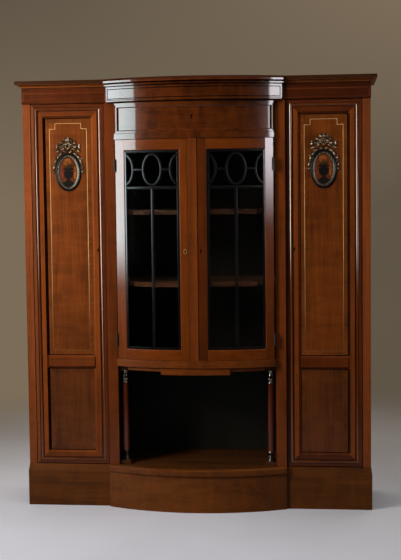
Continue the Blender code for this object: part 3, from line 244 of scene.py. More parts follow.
BLOOM_PLACE_SHARES = (
    (0.13, 1.70, 70.0), (0.20, 1.47, 15.0), (0.42, 1.36, 50.0), (0.60, 1.34, 110.0), (0.58, 1.10, -20.0),
    (0.27, 1.23, -55.0), (0.13, 1.06, 30.0), (0.38, 0.96, -30.0), (0.55, 0.78, -60.0), (0.69, 0.55, -80.0),
    (0.76, 0.24, -95.0),
)
BLOOM_SIZE_SHARES = (1.0, 0.72, 1.15, 0.85, 1.05)
BLOOM_LENGTH_SHARE = 0.21
BLOOM_WIDTH_SHARE = 0.125
BUD_SHARES = ((0.62, 1.42), (0.31, 1.34), (0.72, 0.70))
BUD_RADIUS = 0.0036
BUD_STRETCH = 1.25
KNOT_SHARES = ((1.26, 0.050), (1.54, 0.045), (1.80, 0.040))

# Glazed doors
GLASS_STILE_WIDTHS = {"left": (0.0392, 0.0325), "right": (0.0375, 0.0335)}
LATTICE_DRIFTS = {"left": 0.0035, "right": 0.0010}
STILE_EASE = {"left": 0.0, "right": 0.0011}
GLASS_TOP_RAIL = 0.0440
GLASS_BOTTOM_RAIL = 0.0425
GLASS_FRAME_THICKNESS = 0.024
PANE_FRONT = 0.0118
PANE_BACK = 0.0148
GLASS_KEY_INSET = 0.0125
GLASS_KEY_Z = 1.1285
LIP_WIDTH = 0.0025
LIP_DEPTH = 0.0030
LATTICE_FRONT = 0.0032
LATTICE_BACK = 0.0108
LATTICE_INSET = 0.0072
LATTICE_BORDER = 0.0125
LATTICE_BAR = 0.0145
LATTICE_OVAL_BAR = 0.0115
LATTICE_LINK = 0.0110
LATTICE_BAND_HEIGHT = 0.155
LATTICE_OVAL_WIDTH = 0.091
LATTICE_OVAL_HEIGHT = 0.141
HALF_OVAL_STEPS = 36
HALF_OVAL_TURN = radians(160)

# Butt hinges
KNUCKLES = 5
KNUCKLE_RADIUS = 0.0045
KNUCKLE_ROUND = 0.0008
KNUCKLE_END_SHARE = 0.86
HINGE_LEAF = 0.002

# Drawer
DRAWER_FRONT_THICKNESS = 0.022
DRAWER_KEY_Z = 1.6970
DRAWER_SHADE_LINE_PROUD = 0.0012
DRAWER_SLOPE_SHARES = ((0.5, 0.56), (1.0, 0.97), (1.0, 1.0))
DRAWER_SIDE_BORDERS = (0.0190, 0.0145)
DRAWER_BASE_BORDER = 0.0135
DRAWER_TOP_BORDER = 0.022
DRAWER_FIELD_DEPTH = 0.0036
DRAWER_SIDE_SLOPE = 0.0065
DRAWER_SLOPE = 0.0040
DRAWER_SHADE_LINE_WIDTH = 0.0046

# Keyholes
KEY_HOLE_RADIUS = 0.0043
KEY_SLOT_DROP = 0.0120
KEY_SLOT_WIDTH = 0.0052
KEY_LINING = 0.0016
KEY_LINING_PROUD = 0.0006
KEY_LINING_SHARES = (0.40, 0.84)

# Apron with its tablet, and the plinth's bow
APRON_HEIGHT = 0.016
APRON_THICKNESS = 0.012
TABLET_PROUD = 0.006
TABLET_RANGE = (-0.146, 0.152)
TABLET_DROP = 0.004
TABLET_DEPTH = 0.008
PLINTH_LIP_PROUD = 0.006
PLINTH_LIP_HEIGHT = 0.027
PLINTH_LIP_ROUND = 0.003
PLINTH_BOW_THICKNESS = 0.022

# Columns, their turnings in shares of the shaft's radius. Two shares are a point
# (radius, height), four are a round moulding (radius, swell, height, thickness).
COLUMN_RADIUS = 0.0148
FOOT_BLOCK_HEIGHT = 0.016
HEAD_BLOCK_HEIGHT = 0.025
HEAD_BLOCK_HALF = 0.022
FOOT_SHARES = (
    (0.0, 0.0), (1.182, 0.0), (1.081, 0.128, 0.236, 0.473), (1.014, 0.527), (0.797, 0.946),
    (0.743, 1.351), (0.824, 0.108, 1.622, 0.338), (0.757, 1.858), (0.845, 2.230), (0.960, 2.365),
    (0.946, 0.108, 2.601, 0.338),
)
FOOT_END_SHARE = 0.892
CAPITAL_SHARES = (
    (0.0, 0.0), (0.946, 0.0), (0.932, 0.095, 0.203, 0.297), (0.838, 0.439), (0.946, 0.676),
    (1.014, 0.149, 1.182, 0.878), (0.932, 1.824), (0.797, 2.365), (0.743, 2.838),
    (0.824, 0.122, 3.142, 0.338),
)
CAPITAL_END_SHARE = 0.878
SHAFT_STEPS = 16
SHAFT_FOOT_SHARE = 0.98
SHAFT_SWELL_SHARE = 0.02
SHAFT_TAPER_SHARE = 0.06


def feed(tree, node, **inputs):
    """Give a node's inputs their values, or the sockets that they take."""
    for key, value in inputs.items():
        socket = node.inputs[key.replace("_", " ")]
        if isinstance(value, bpy.types.NodeSocket):
            tree.links.new(value, socket)
        else:
            socket.default_value = value


def add(tree, kind, settings=None, **inputs):
    """Add a node with its settings and inputs."""
    node = tree.nodes.new(f"ShaderNode{kind}")
    for key, value in (settings or {}).items():
        setattr(node, key, value)
    feed(tree, node, **inputs)
    return node


def shader_of(material):
    """A material's node tree and its Principled shader."""
    tree = material.node_tree
    return tree, tree.nodes["Principled BSDF"]


def new_material(name):
    """A material with its Principled shader, and the object's coordinates."""
    material = bpy.data.materials.new(name)
    material.use_nodes = True
    tree, shader = shader_of(material)
    place = add(tree, "TexCoord").outputs["Object"]
    return material, tree, shader, place


def ramp(tree, factor, *stops):
    """Colours between stops of (place, linear colour) along a factor."""
    node = add(tree, "ValToRGB", Fac=factor)
    points = node.color_ramp.elements
    points[0].position, points[0].color = stops[0][0], (*stops[0][1], 1.0)
    points[1].position, points[1].color = stops[-1][0], (*stops[-1][1], 1.0)
    for position, colour in stops[1:-1]:
        points.new(position).color = (*colour, 1.0)
    return node.outputs["Color"]


def mix(tree, factor, first, second, mode="MIX"):
    node = add(tree, "Mix", {"data_type": "RGBA", "blend_type": mode})
    for index, value in ((0, factor), (6, first), (7, second)):
        if isinstance(value, bpy.types.NodeSocket):
            tree.links.new(value, node.inputs[index])
        else:
            node.inputs[index].default_value = value
    return node.outputs[2]


def multiply(tree, first, second):
    node = add(tree, "Math", {"operation": "MULTIPLY"})
    tree.links.new(first, node.inputs[0])
    tree.links.new(second, node.inputs[1])
    return node.outputs["Value"]


def noise(tree, place, scale, detail, roughness, distortion=0.0, shift=(0, 0, 0)):
    """Noise with one scale for each axis, or the same for all."""
    scales = scale if isinstance(scale, tuple) else (scale,) * 3
    spot = add(tree, "Mapping", Vector=place, Scale=scales, Location=shift).outputs["Vector"]
    return add(
        tree, "TexNoise", Vector=spot, Scale=1.0, Detail=detail, Roughness=roughness, Distortion=distortion,
    ).outputs["Fac"]


def spread(tree, factor, start=0.0, end=1.0, low=0.0, high=1.0, smooth=False):
    """Turn a value between start and end into a number between low and high."""
    settings = {"interpolation_type": "SMOOTHSTEP"} if smooth else {}
    return add(
        tree, "MapRange", settings, Value=factor, From_Min=start, From_Max=end, To_Min=low, To_Max=high,
    ).outputs["Result"]


def bumps(tree, height, strength, depth):
    return add(tree, "Bump", Strength=strength, Distance=depth, Height=height).outputs["Normal"]


def coordinate(tree, axis):
    """The object's own coordinate along an axis, in metres."""
    place = add(tree, "TexCoord").outputs["Object"]
    return add(tree, "SeparateXYZ", Vector=place).outputs[axis]


def colour_source(shader):
    return shader.inputs["Base Color"].links[0].from_socket


def stretched(grain, along, across):
    """Texture scales that draw a noise out along the grain's axis."""
    return tuple(along if axis == grain else across for axis in "XYZ")


WOODS = {
    # middle tone, strength of figure, roughness, polish
    "mahogany": ((0.175, 0.0370, 0.0045), 0.50, 0.36, 0.06),
    "rail": ((0.135, 0.0285, 0.0036), 0.60, 0.36, 0.06),
    "stile": ((0.205, 0.0460, 0.0095), 0.45, 0.36, 0.06),
    "bead": ((0.110, 0.0240, 0.0040), 0.40, 0.20, 0.00),
    "frieze": ((0.088, 0.0165, 0.0018), 0.80, 0.36, 0.08),
    "figured": ((0.176, 0.0395, 0.0052), 0.85, 0.36, 0.10),
    # A darker wood for the lower panels and their banding: painted shade, as less light falls low down.
    "lower": ((0.097, 0.0240, 0.0042), 0.75, 0.36, 0.10),
    "band": ((0.085, 0.0170, 0.0036), 0.40, 0.34, 0.10),
    "bow": ((0.070, 0.0150, 0.0022), 1.20, 0.22, 0.62),
    "door": ((0.140, 0.0290, 0.0030), 0.50, 0.22, 0.62),
    # A darker copy of the figured wood for the right upper panel: painted shade from the light falling from
    # the left.
    "figured_painted_shade": ((0.138, 0.0310, 0.0034), 0.85, 0.36, 0.10),
    # Fillet and cove of the wing cornices are shaded and lit copies of one wood: the fillet painted darker,
    # the cove painted lighter where the fillet's shadow falls.
    "cornice": ((0.034, 0.0100, 0.0026), 0.40, 0.36, 0.04),
    "cove": ((0.215, 0.0560, 0.0095), 0.40, 0.36, 0.06),
    # A darker copy of the frieze wood for the right wing: painted shade.
    "frieze_painted_shade": ((0.055, 0.0100, 0.0010), 0.80, 0.36, 0.06),
    "plinth_bow": ((0.124, 0.0330, 0.0046), 0.70, 0.42, 0.00),
    # A darker copy of the shaft wood for the right column: painted shade.
    "shaft_painted_shade": ((0.078, 0.0135, 0.0034), 0.30, 0.24, 0.34),
    # A paler copy of the band wood for one stile: painted sheen.
    "band_painted_sheen": ((0.150, 0.0420, 0.0130), 0.40, 0.34, 0.10),
    # Dark wood for the bow's cap, also painted shade on one band, the quirks' left sides and corner lines.
    "dark_band": ((0.030, 0.0060, 0.0015), 0.40, 0.34, 0.06),
    "shade": ((0.085, 0.0170, 0.0020), 0.50, 0.30, 0.30),
    "edge": ((0.130, 0.0300, 0.0040), 0.80, 0.30, 0.30),
    "banding": ((0.150, 0.0360, 0.0050), 0.40, 0.36, 0.25),
    "plinth": ((0.102, 0.0280, 0.0040), 0.70, 0.42, 0.00),
    "shaft": ((0.110, 0.0180, 0.0040), 0.30, 0.24, 0.50),
    "shelf": ((0.072, 0.0260, 0.0110), 1.00, 0.40, 0.10),
    "post": ((0.108, 0.0220, 0.0030), 0.60, 0.34, 0.16),
    # Dark wood for the niche's floor and the columns' blocks: painted shade of the niche.
    "niche": ((0.055, 0.0170, 0.0034), 0.60, 0.40, 0.20),
    "inner": ((0.180, 0.1020, 0.0520), 0.50, 0.60, 0.00),
    # Near-black wood inside the case and niche: painted shade.
    "dark": ((0.013, 0.0110, 0.0070), 0.40, 0.50, 0.00),
    "string": ((0.700, 0.4000, 0.1400), 0.25, 0.36, 0.10),
    "ground": ((0.120, 0.0300, 0.0080), 0.90, 0.30, 0.40),
    "flame": ((0.300, 0.0800, 0.0140), 0.60, 0.30, 0.40),
    "rose": ((0.170, 0.0300, 0.0140), 0.60, 0.30, 0.40),
    "urn": ((0.012, 0.0090, 0.0080), 0.60, 0.30, 0.40),
    "olive": ((0.026, 0.0190, 0.0060), 0.60, 0.30, 0.40),
}
DARK_SHARE = 0.58
LIGHT_SHARE = 1.38
GRAIN_NOISES = (
    # scales along and across the grain, detail, roughness, distortion
    (1.3, 9.0, 3.0, 0.5, 0.8),
    (5.0, 150.0, 5.0, 0.6, 0.2),
    (60.0, 1400.0, 2.0, 0.5, 0.0),
    (22.0, 7.0, 2.0, 0.5, 0.6),
)
NOISES = {
    # scale or scales on X, Y and Z, detail, roughness, distortion
    "rubbing": (120.0, 2.0, 0.5),
    "streaks": ((90.0, 90.0, 30.0), 4.0, 0.6),
    "waves": ((9.0, 9.0, 5.0), 2.0, 0.4),
    "rough_board": ((45.0, 45.0, 2.5), 5.0, 0.6, 0.3),
    "backdrop": (2.6, 3.0, 0.5, 0.3),
    "floor": (1.6, 3.0, 0.5),
}
TARNISH_DETAIL = (5.0, 0.62, 0.4)
SEED_SHIFT = Vector((0.37, 0.61, 0.83))
FIBRE_SHARE = 0.42
MOTTLE_SHARE = 0.30
TONE_REACH = 0.17
TONE_NARROWING = 0.07
PORE_TINT = (0.55, 0.50, 0.45)
WHITE = (1.0, 1.0, 1.0)
BEAD_TINT = (1.0, 0.78, 0.62, 1.0)
STRING_FOOT = (0.175, 0.070, 0.018, 1.0)
WOOD_BUMP = 0.0004
METAL_BUMP = 0.0003
GLASS_BUMP = 0.001
STRING_DARK_LEVEL = 0.76
STRING_PALE_LEVEL = 1.12
LATTICE_DULL_LEVEL = 0.90
LATTICE_BRIGHT_LEVEL = 1.36
LATTICE_DULL_SHARE = 0.15
made_woods = {}


def wood(kind, grain, seed=0):
    """Polished wood: broad figure, fine fibres and pores along the grain."""
    key = f"{kind}_{grain}_{seed}"
    if key in made_woods:
        return made_woods[key]
    middle, figure, roughness, polish = WOODS[kind]
    dark, light = ([share * part for part in middle] for share in (DARK_SHARE, LIGHT_SHARE))
    material, tree, shader, place = new_material(key)
    broad, fibre, pores, mottle = (
        noise(tree, place, stretched(grain, along, across), *rest, seed * SEED_SHIFT)
        for along, across, *rest in GRAIN_NOISES
    )
    tone = mix(tree, FIBRE_SHARE, broad, fibre)
    tone = mix(tree, MOTTLE_SHARE * figure, tone, mottle)
    reach = TONE_REACH - TONE_NARROWING * figure
    colour = ramp(tree, tone, (0.5 - reach, dark), (0.5, middle), (0.5 + reach, light))
    shade = ramp(tree, pores, (0.36, PORE_TINT), (0.50, WHITE))
    feed(
        tree, shader, Base_Color=mix(tree, 0.5, colour, shade, "MULTIPLY"),
        Roughness=spread(tree, fibre, low=roughness - 0.05, high=roughness + 0.08),
        Normal=bumps(tree, fibre, 0.06, WOOD_BUMP), Specular_IOR_Level=0.10, Coat_Weight=polish,
        Coat_Roughness=0.045,
    )
    made_woods[key] = material
    return material


def polished_bead():
    """The beads' wood, with the warm strong gloss of rubbed polish."""
    material = wood("bead", "Z", 1)
    tree, shader = shader_of(material)
    for name in ("Roughness", "Normal"):
        for link in list(shader.inputs[name].links):
            tree.links.remove(link)
    feed(tree, shader, Roughness=0.10, IOR=1.65, Specular_IOR_Level=0.5, Specular_Tint=BEAD_TINT)
    return material


def stringing_darker_below():
    """Boxwood stringing, darker towards its foot."""
    material = wood("string", "Z", 2)
    tree, shader = shader_of(material)
    upward_share = spread(tree, coordinate(tree, "Z"), STRING_DARK_LEVEL, STRING_PALE_LEVEL)
    feed(tree, shader, Base_Color=mix(tree, upward_share, STRING_FOOT, colour_source(shader)))
    return material


def metal(name, dull, bright, roughness, scale):
    """Old brass or gilding: patches of tarnish and uneven gloss."""
    material, tree, shader, place = new_material(name)
    patches = noise(tree, place, scale, *TARNISH_DETAIL)
    feed(
        tree, shader, Base_Color=ramp(tree, patches, (0.34, dull), (0.62, bright)),
        Roughness=spread(tree, patches, low=roughness + 0.12, high=roughness - 0.06),
        Normal=bumps(tree, patches, 0.15, METAL_BUMP), Metallic=1.0,
    )
    return material


def antique_gilding(hollow_y, crest_y):
    """Gilding rubbed bright on its crests and dark in its hollows."""
    material = metal("antique_gilding", (0.035, 0.022, 0.010), (0.110, 0.070, 0.028), 0.40, 380.0)
    tree, shader = shader_of(material)
    place = add(tree, "TexCoord").outputs["Object"]
    rise = spread(tree, coordinate(tree, "Y"), hollow_y, crest_y, smooth=True)
    patches = noise(tree, place, *NOISES["rubbing"])
    rubbed = ramp(tree, patches, (0.38, (0.52, 0.31, 0.17)), (0.58, (1.0, 0.68, 0.47)))
    feed(tree, shader, Base_Color=mix(tree, rise, colour_source(shader), rubbed))
    return material


def lacquer(name, low, high, roughness, polish, shine=0.5):
    """Dark lacquer with faint streaks and a varying gloss."""
    material, tree, shader, place = new_material(name)
    streaks = noise(tree, place, *NOISES["streaks"])
    feed(
        tree, shader, Base_Color=ramp(tree, streaks, (0.35, low), (0.65, high)),
        Roughness=spread(tree, streaks, low=roughness - 0.04, high=roughness + 0.06),
        Specular_IOR_Level=shine, Coat_Weight=polish, Coat_Roughness=0.06,
    )
    return material


def lacquer_duller_below(name, low, high, roughness, polish, shine):
    """Lacquer with less gloss towards its foot."""
    material = lacquer(name, low, high, roughness, polish, shine)
    tree, shader = shader_of(material)
    height = coordinate(tree, "Z")
    shine_here, polish_here = (
        spread(tree, height, LATTICE_DULL_LEVEL, LATTICE_BRIGHT_LEVEL, LATTICE_DULL_SHARE * full, full)
        for full in (shine, polish)
    )
    feed(tree, shader, Specular_IOR_Level=shine_here, Coat_Weight=polish_here)
    return material


def glass():
    """Old window glass with faint waves."""
    material, tree, shader, place = new_material("pane_glass")
    waves = noise(tree, place, *NOISES["waves"])
    feed(
        tree, shader, Base_Color=ramp(tree, waves, (0.3, (0.92, 0.95, 0.93)), (0.7, (0.97, 0.98, 0.97))),
        Normal=bumps(tree, waves, 0.02, GLASS_BUMP), Roughness=0.0, IOR=1.03, Transmission_Weight=1.0,
    )
    return material


STEEL = metal("dull_hinge_brass", (0.018, 0.016, 0.013), (0.058, 0.051, 0.043), 0.40, 200.0)
COLUMN_BRASS = metal("column_brass", (0.070, 0.056, 0.040), (0.560, 0.470, 0.360), 0.15, 75.0)
# A darker copy of the column brass for the bases: painted shade.
FOOT_BRASS_PAINTED_SHADE = metal("column_foot_brass_painted_shade", (0.030, 0.025, 0.022), (0.150, 0.120, 0.105), 0.20, 90.0)
KEY_BRASS = metal("keyhole_brass", (0.160, 0.110, 0.040), (0.760, 0.560, 0.220), 0.44, 260.0)
GILT = metal("worn_gilding", (0.040, 0.030, 0.020), (0.160, 0.120, 0.075), 0.42, 200.0)
BEAD_GILT = metal("bead_gilding", (0.180, 0.118, 0.075), (0.610, 0.410, 0.300), 0.42, 160.0)
STRING = stringing_darker_below()
PANEL_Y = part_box("wing_panel_left_upper")[0].y
MOUNT_GILT = antique_gilding(
    PANEL_Y - HOLLOW_RISE_SHARE * MOUNT_RISE, PANEL_Y - TOP_RISE_SHARE * MOUNT_RISE,
)
JET = lacquer("ebonised_satin", (0.0020, 0.0018, 0.0018), (0.0060, 0.0050, 0.0050), 0.35, 0.02, 0.15)
JET_GLOSS = lacquer("ebonised_border", (0.0020, 0.0018, 0.0018), (0.0060, 0.0050, 0.0050), 0.16, 0.30, 0.20)
DULL_JET = lacquer_duller_below(
    "ebonised_dull", (0.0015, 0.0013, 0.0013), (0.0050, 0.0042, 0.0040), 0.34, 0.02, 0.12,
)
EBONISED = lacquer_duller_below(
    "ebonised_gloss", (0.0030, 0.0026, 0.0026), (0.0075, 0.0066, 0.0060), 0.30, 0.06, 0.12,
)
POLISHED_BEAD = polished_bead()
# Near-black lacquer as painted shade: keyhole plates, the bow frieze's lines, the drawer field's lines and
# the panels' corner lines.
PAINTED_SHADE_BLACK = lacquer("painted_shade_lacquer", (0.0010, 0.0008, 0.0006), (0.0030, 0.0020, 0.0015), 0.8, 0.0, 0.0)
SHADED = lacquer("shaded_slope", (0.0120, 0.0038, 0.0014), (0.0260, 0.0090, 0.0030), 0.6, 0.0, 0.0)
GLASS = glass()


def bow_y(x, proud):
    """Depth of a bowed face at x."""
    return BOW_APEX_Y + BOW_RADIUS - sqrt((BOW_RADIUS + proud) ** 2 - x ** 2)


def on_bow(base):
    """The surface of a bowed face that stands proud of the frieze's by base."""
    return lambda x, proud: bow_y(x, base + proud)


def on_plane(y):
    """The surface of a flat face at y."""
    return lambda x, proud: y - proud


def stations(x0, x1, step=BOW_STEP):
    count = max(1, ceil((x1 - x0) / step))
    return [x0 + (x1 - x0) * index / count for index in range(count + 1)]


def skin(rings, around=False, tints=None):
    """Points, faces and material numbers of a skin drawn through rings."""
    size = len(rings[0])
    points = [point for ring in rings for point in ring]
    faces, numbers = [], []
    for first in range(len(rings) if around else len(rings) - 1):
        near, far = first * size, (first + 1) % len(rings) * size
        for low in range(size):
            high = (low + 1) % size
            faces.append((near + low, near + high, far + high, far + low))
            numbers.append(tints[first] if tints else 0)
    if not around:
        last = (len(rings) - 1) * size
        faces += [tuple(range(size)), tuple(range(last, last + size))]
        numbers += [tints[0], tints[-1]] if tints else [0, 0]
    return points, faces, numbers


def make(name, body, skins, materials, replaces=(), arris=0.0):
    """One piece of the cabinet from skins, riding on its CAD body."""
    mesh = bpy.data.meshes.new(name)
    bm = bmesh.new()
    for points, faces, numbers in skins:
        corners = [bm.verts.new(point) for point in points]
        for face, number in zip(faces, numbers):
            made = bm.faces.new([corners[index] for index in face])
            made.material_index = number
            made.smooth = True
    bmesh.ops.recalc_face_normals(bm, faces=bm.faces)
    bm.to_mesh(mesh)
    bm.free()
    mesh.set_sharp_from_angle(angle=SHARP_ANGLE)
    for material in materials:
        mesh.materials.append(material)
    piece = bpy.data.objects.new(name, mesh)
    bpy.context.scene.collection.objects.link(piece)
    if arris:
        round_edges(piece, arris)
    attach(piece, body)
    if replaces:
        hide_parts(*replaces)
    return piece


def round_edges(piece, width):
    """Take the sharpness off the arrises, as sanding and wear do."""
    bevel = piece.modifiers.new("worn_arrises", "BEVEL")
    bevel.width = width
    bevel.segments = 2
    bevel.limit_method = "ANGLE"
    bevel.angle_limit = SHARP_ANGLE
    bevel.harden_normals = True


def sweep(path, section, surface, closed=False):
    """Rings of a section of (across, proud) carried along a path of (x, z)."""
    rings = []
    last = len(path) - 1
    for index, point in enumerate(path):
        here = Vector(point)
        before = Vector(path[index - 1]) if closed or index else None
        after = Vector(path[(index + 1) % len(path)]) if closed or index < last else None
        ways = []
        if before is not None:
            ways.append((here - before).normalized())
        if after is not None:
            ways.append((after - here).normalized())
        normals = [Vector((-way.y, way.x)) for way in ways]
        mitre = sum(normals, Vector((0.0, 0.0))).normalized()
        mitre /= max(mitre.dot(normals[0]), MITRE_LIMIT)
        ring = []
        for across, proud in section:
            spot = here + mitre * across
            ring.append((spot.x, surface(spot.x, proud), spot.y))
        rings.append(ring)
    return rings


def plate(outline, surface, back, front):
    """Skin of an outline of (x, z) between two depths proud of a surface."""
    return skin([[(x, surface(x, proud), z) for x, z in outline] for proud in (back, front)])


def upright(outline, levels):
    """Skin of an outline of (x, y) drawn up from one level to the next."""
    return skin([[(x, y, z) for x, y in outline] for z in levels])


def moulding(path, section, surface, closed=True, tints=None):
    """Skin of a section carried along a path, closed unless it says otherwise."""
    return skin(sweep(path, section, surface, closed), closed, tints)


def dense(path, closed=False, step=BOW_STEP):
    """The same path with points no further apart than step."""
    points = []
    ends = list(zip(path, path[1:] + path[:1])) if closed else list(zip(path, path[1:]))
    for first, second in ends:
        first, second = Vector(first), Vector(second)
        count = max(1, ceil((second - first).length / step))
        points += [tuple(first.lerp(second, index / count)) for index in range(count)]
    return points if closed else points + [path[-1]]


def rectangle(left, right, low, high):
    return [(left, low), (right, low), (right, high), (left, high)]


def oval(centre, across, up, steps=OVAL_STEPS, start=0.0, turn=2 * pi):
    """Points round an oval of half widths across and up, or a part of it."""
    count = steps if turn == 2 * pi else steps + 1
    angles = [start + turn * index / steps for index in range(count)]
    return [(centre[0] + across * cos(a), centre[1] + up * sin(a)) for a in angles]


def half_round(width, base, crest, steps=8):
    """Section of a rounded bar that stands from base to crest."""
    turns = [pi * index / steps for index in range(steps + 1)]
    return [(width / 2 * cos(a), base + (crest - base) * sin(a) ** ROUND_POWER) for a in turns]


def soft_bar(width, base, crest):
    """Section of a flat bar with rounded arrises."""
    half, arris = width / 2, width * BAR_ARRIS_SHARE
    cut = arris * BAR_CUT_SHARE
    flank = [(half, base), (half, crest - arris), (half - cut, crest - cut), (half - arris, crest)]
    return flank + [(-across, proud) for across, proud in reversed(flank)]


def flat_strip(width, base, crest):
    return rectangle(-width / 2, width / 2, base, crest)


def bowed_bar(x_range, z_range, front, back, ease=0.0):
    """A bar along the bow with a rectangular section, its face eased back towards its far end."""
    low, high = z_range
    rings = []
    for x in stations(*x_range):
        face = front - ease * (x - x_range[0]) / (x_range[1] - x_range[0])
        section = ((face, low), (face, high), (back, high), (back, low))
        rings.append([(x, bow_y(x, proud), z) for proud, z in section])
    return skin(rings)


def along_bow(section, low, high):
    """Skin of a section of (proud, up) carried along the bow across a box."""
    return skin([[(x, bow_y(x, out), low.z + up) for out, up in section] for x in stations(low.x, high.x)])


def cornice_profile(height, overhang):
    """Points as (out, up) of the cornice's two parts: bead, cove and step, then the fillet."""
    bead, cove_start = CORNICE_BEAD_RADIUS, 2 * CORNICE_BEAD_RADIUS
    cove = [
        (0.0, 0.0),
        *oval((bead, bead), bead, bead, 6, -pi / 2, pi),
        *oval(
            (CORNICE_COVE_OUT, CORNICE_COVE_BASE), cove_start - CORNICE_COVE_OUT,
            CORNICE_COVE_TOP - CORNICE_COVE_BASE, 6, 0.0, pi / 2,
        ),
        (CORNICE_STEP_OUT, CORNICE_COVE_TOP),
        (CORNICE_STEP_OUT, CORNICE_STEP_TOP),
        (-CORNICE_SEAT, CORNICE_STEP_TOP),
        (-CORNICE_SEAT, 0.0),
    ]
    fillet = [
        (overhang, CORNICE_STEP_TOP),
        (overhang, height - CORNICE_TOP_ROUND),
        (overhang - CORNICE_TOP_ROUND, height),
        (-CORNICE_SEAT, height),
        (-CORNICE_SEAT, CORNICE_STEP_TOP),
    ]
    return cove, fillet


def bow_cornice_profile(overhang):
    """Cornice of the bow under its cap: second fillet, deep hollow and top fillet."""
    return [
        (BOW_FILLET_OUT, 0.0),
        (BOW_FILLET_OUT, BOW_FILLET_TOP),
        (BOW_FILLET_OUT - BOW_HOLLOW_DEPTH, BOW_FILLET_TOP),
        (BOW_FILLET_OUT - BOW_HOLLOW_DEPTH, BOW_HOLLOW_BASE),
        (overhang, BOW_HOLLOW_TOP),
        (overhang, BOW_CAP_BASE),
        (-CORNICE_SEAT, BOW_CAP_BASE),
        (-CORNICE_SEAT, 0.0),
    ]


def frieze_profile(height, roundness=1.0):
    """Frieze points as (out, up): bead, flat face and a sunk line."""
    points = [(0.0, 0.0)]
    for index in range(9):
        turn = -pi / 2 + pi * index / 8
        out = FRIEZE_BEAD_PROUD * max(cos(turn), 0.0) ** roundness
        points.append((out, FRIEZE_BEAD_HEIGHT / 2 * (1 + sin(turn))))
    line_top = FRIEZE_LINE_LEVEL + FRIEZE_LINE_HEIGHT
    points += [
        (0.0, FRIEZE_LINE_LEVEL),
        (-FRIEZE_LINE_DEPTH, FRIEZE_LINE_LEVEL),
        (-FRIEZE_LINE_DEPTH, line_top),
        (0.0, line_top),
        (0.0, height),
        (-FRIEZE_THICKNESS, height),
        (-FRIEZE_THICKNESS, 0.0),
    ]
    return points


def frieze_border(low, high, base, top):
    """Outline of the line round a frieze: inlaid wood on the wings, a strip of painted shade on the bow."""
    left, right = low.x + BORDER_LINE_END_INSET, high.x - BORDER_LINE_END_INSET
    return rectangle(left, right, low.z + base, low.z + top)


def build_wing_top(label, side):
    """Frieze, its border, and the cornice's cove and fillet with their side returns."""
    low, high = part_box(f"frieze_{label}")
    inner, outer = sorted((abs(low.x), abs(high.x)))
    frieze = frieze_profile(high.z - low.z)
    face_y = low.y + FRIEZE_BEAD_PROUD
    rings = [[(side * x, face_y - out, low.z + up) for out, up in frieze] for x in (inner, outer)]
    make(f"frieze_board_{label}", "carcass", [skin(rings)], [wood(FRIEZE_LIT_AND_SHADED_KINDS[label], "X", 1)],
         [f"frieze_{label}"])
    border = frieze_border(low, high, WING_BORDER_BASE, WING_BORDER_TOP)
    strip = moulding(border, flat_strip(WING_BORDER_WIDTH, 0.0, STRING_PROUD), on_plane(face_y))
    make(f"frieze_border_{label}", "carcass", [strip], [wood("stile", "X", 3)])
    low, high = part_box(f"cornice_{label}")
    near, far = sorted((abs(low.x), abs(high.x)))
    cove, fillet = cornice_profile(high.z - low.z, far - outer)
    # Cove and fillet take lit and shaded woods: the cove painted lighter, the fillet painted darker.
    for part, kind, section, replaces in (
        ("cove", "cove", cove, ()), ("fillet", "cornice", fillet, [f"cornice_{label}"]),
    ):
        rings = [
            [(side * near, face_y - out, low.z + up) for out, up in section],
            [(side * (outer + out), face_y - out, low.z + up) for out, up in section],
            [(side * (outer + out), high.y, low.z + up) for out, up in section],
        ]
        make(f"cornice_{part}_{label}", "carcass", [skin(rings, tints=[0, 1])],
             [wood(kind, grain, 2) for grain in "XY"], replaces)
    return far - outer


def build_bow_frieze():
    """Bowed frieze with a border line drawn as a black strip of painted shade, and a black strip of painted
    shade in its groove.
    """
    low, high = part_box("frieze_bow")
    veneer = along_bow(frieze_profile(high.z - low.z, FLAT_BEAD_SHARE), low, high)
    make("frieze_veneer", "carcass", [veneer], [wood("bow", "X", 1)], ["frieze_bow"])
    border = dense(frieze_border(low, high, BORDER_LINE_BASE, BORDER_LINE_TOP), True)
    strip = moulding(border, flat_strip(BORDER_LINE_WIDTH, 0.0, STRING_PROUD), on_bow(0.0))
    make("frieze_border_painted_shade", "carcass", [strip], [PAINTED_SHADE_BLACK])
    groove = low.z + FRIEZE_LINE_LEVEL + FRIEZE_LINE_HEIGHT / 2
    path = dense([(low.x, groove), (high.x, groove)])
    section = flat_strip(FRIEZE_LINE_HEIGHT, -FRIEZE_LINE_DEPTH, STRING_PROUD - FRIEZE_LINE_DEPTH)
    line = moulding(path, section, on_bow(0.0), False)
    make("frieze_groove_painted_shade", "carcass", [line], [PAINTED_SHADE_BLACK])


def build_bow_cornice(overhang):
    """Bowed cornice under a dark cap that leans back."""
    low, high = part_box("cornice_bow")
    cornice = along_bow(bow_cornice_profile(overhang), low, high)
    make("cornice_bow_moulding", "carcass", [cornice], [wood("bow", "X", 2)], ["cornice_bow"])
    height = high.z - low.z
    cap = [(overhang, BOW_CAP_BASE), (overhang - BOW_CAP_SET_BACK, height), (-CORNICE_SEAT, height),
           (-CORNICE_SEAT, BOW_CAP_BASE)]
    make("cornice_bow_cap", "carcass", [along_bow(cap, low, high)], [wood("dark_band", "X", 3)])


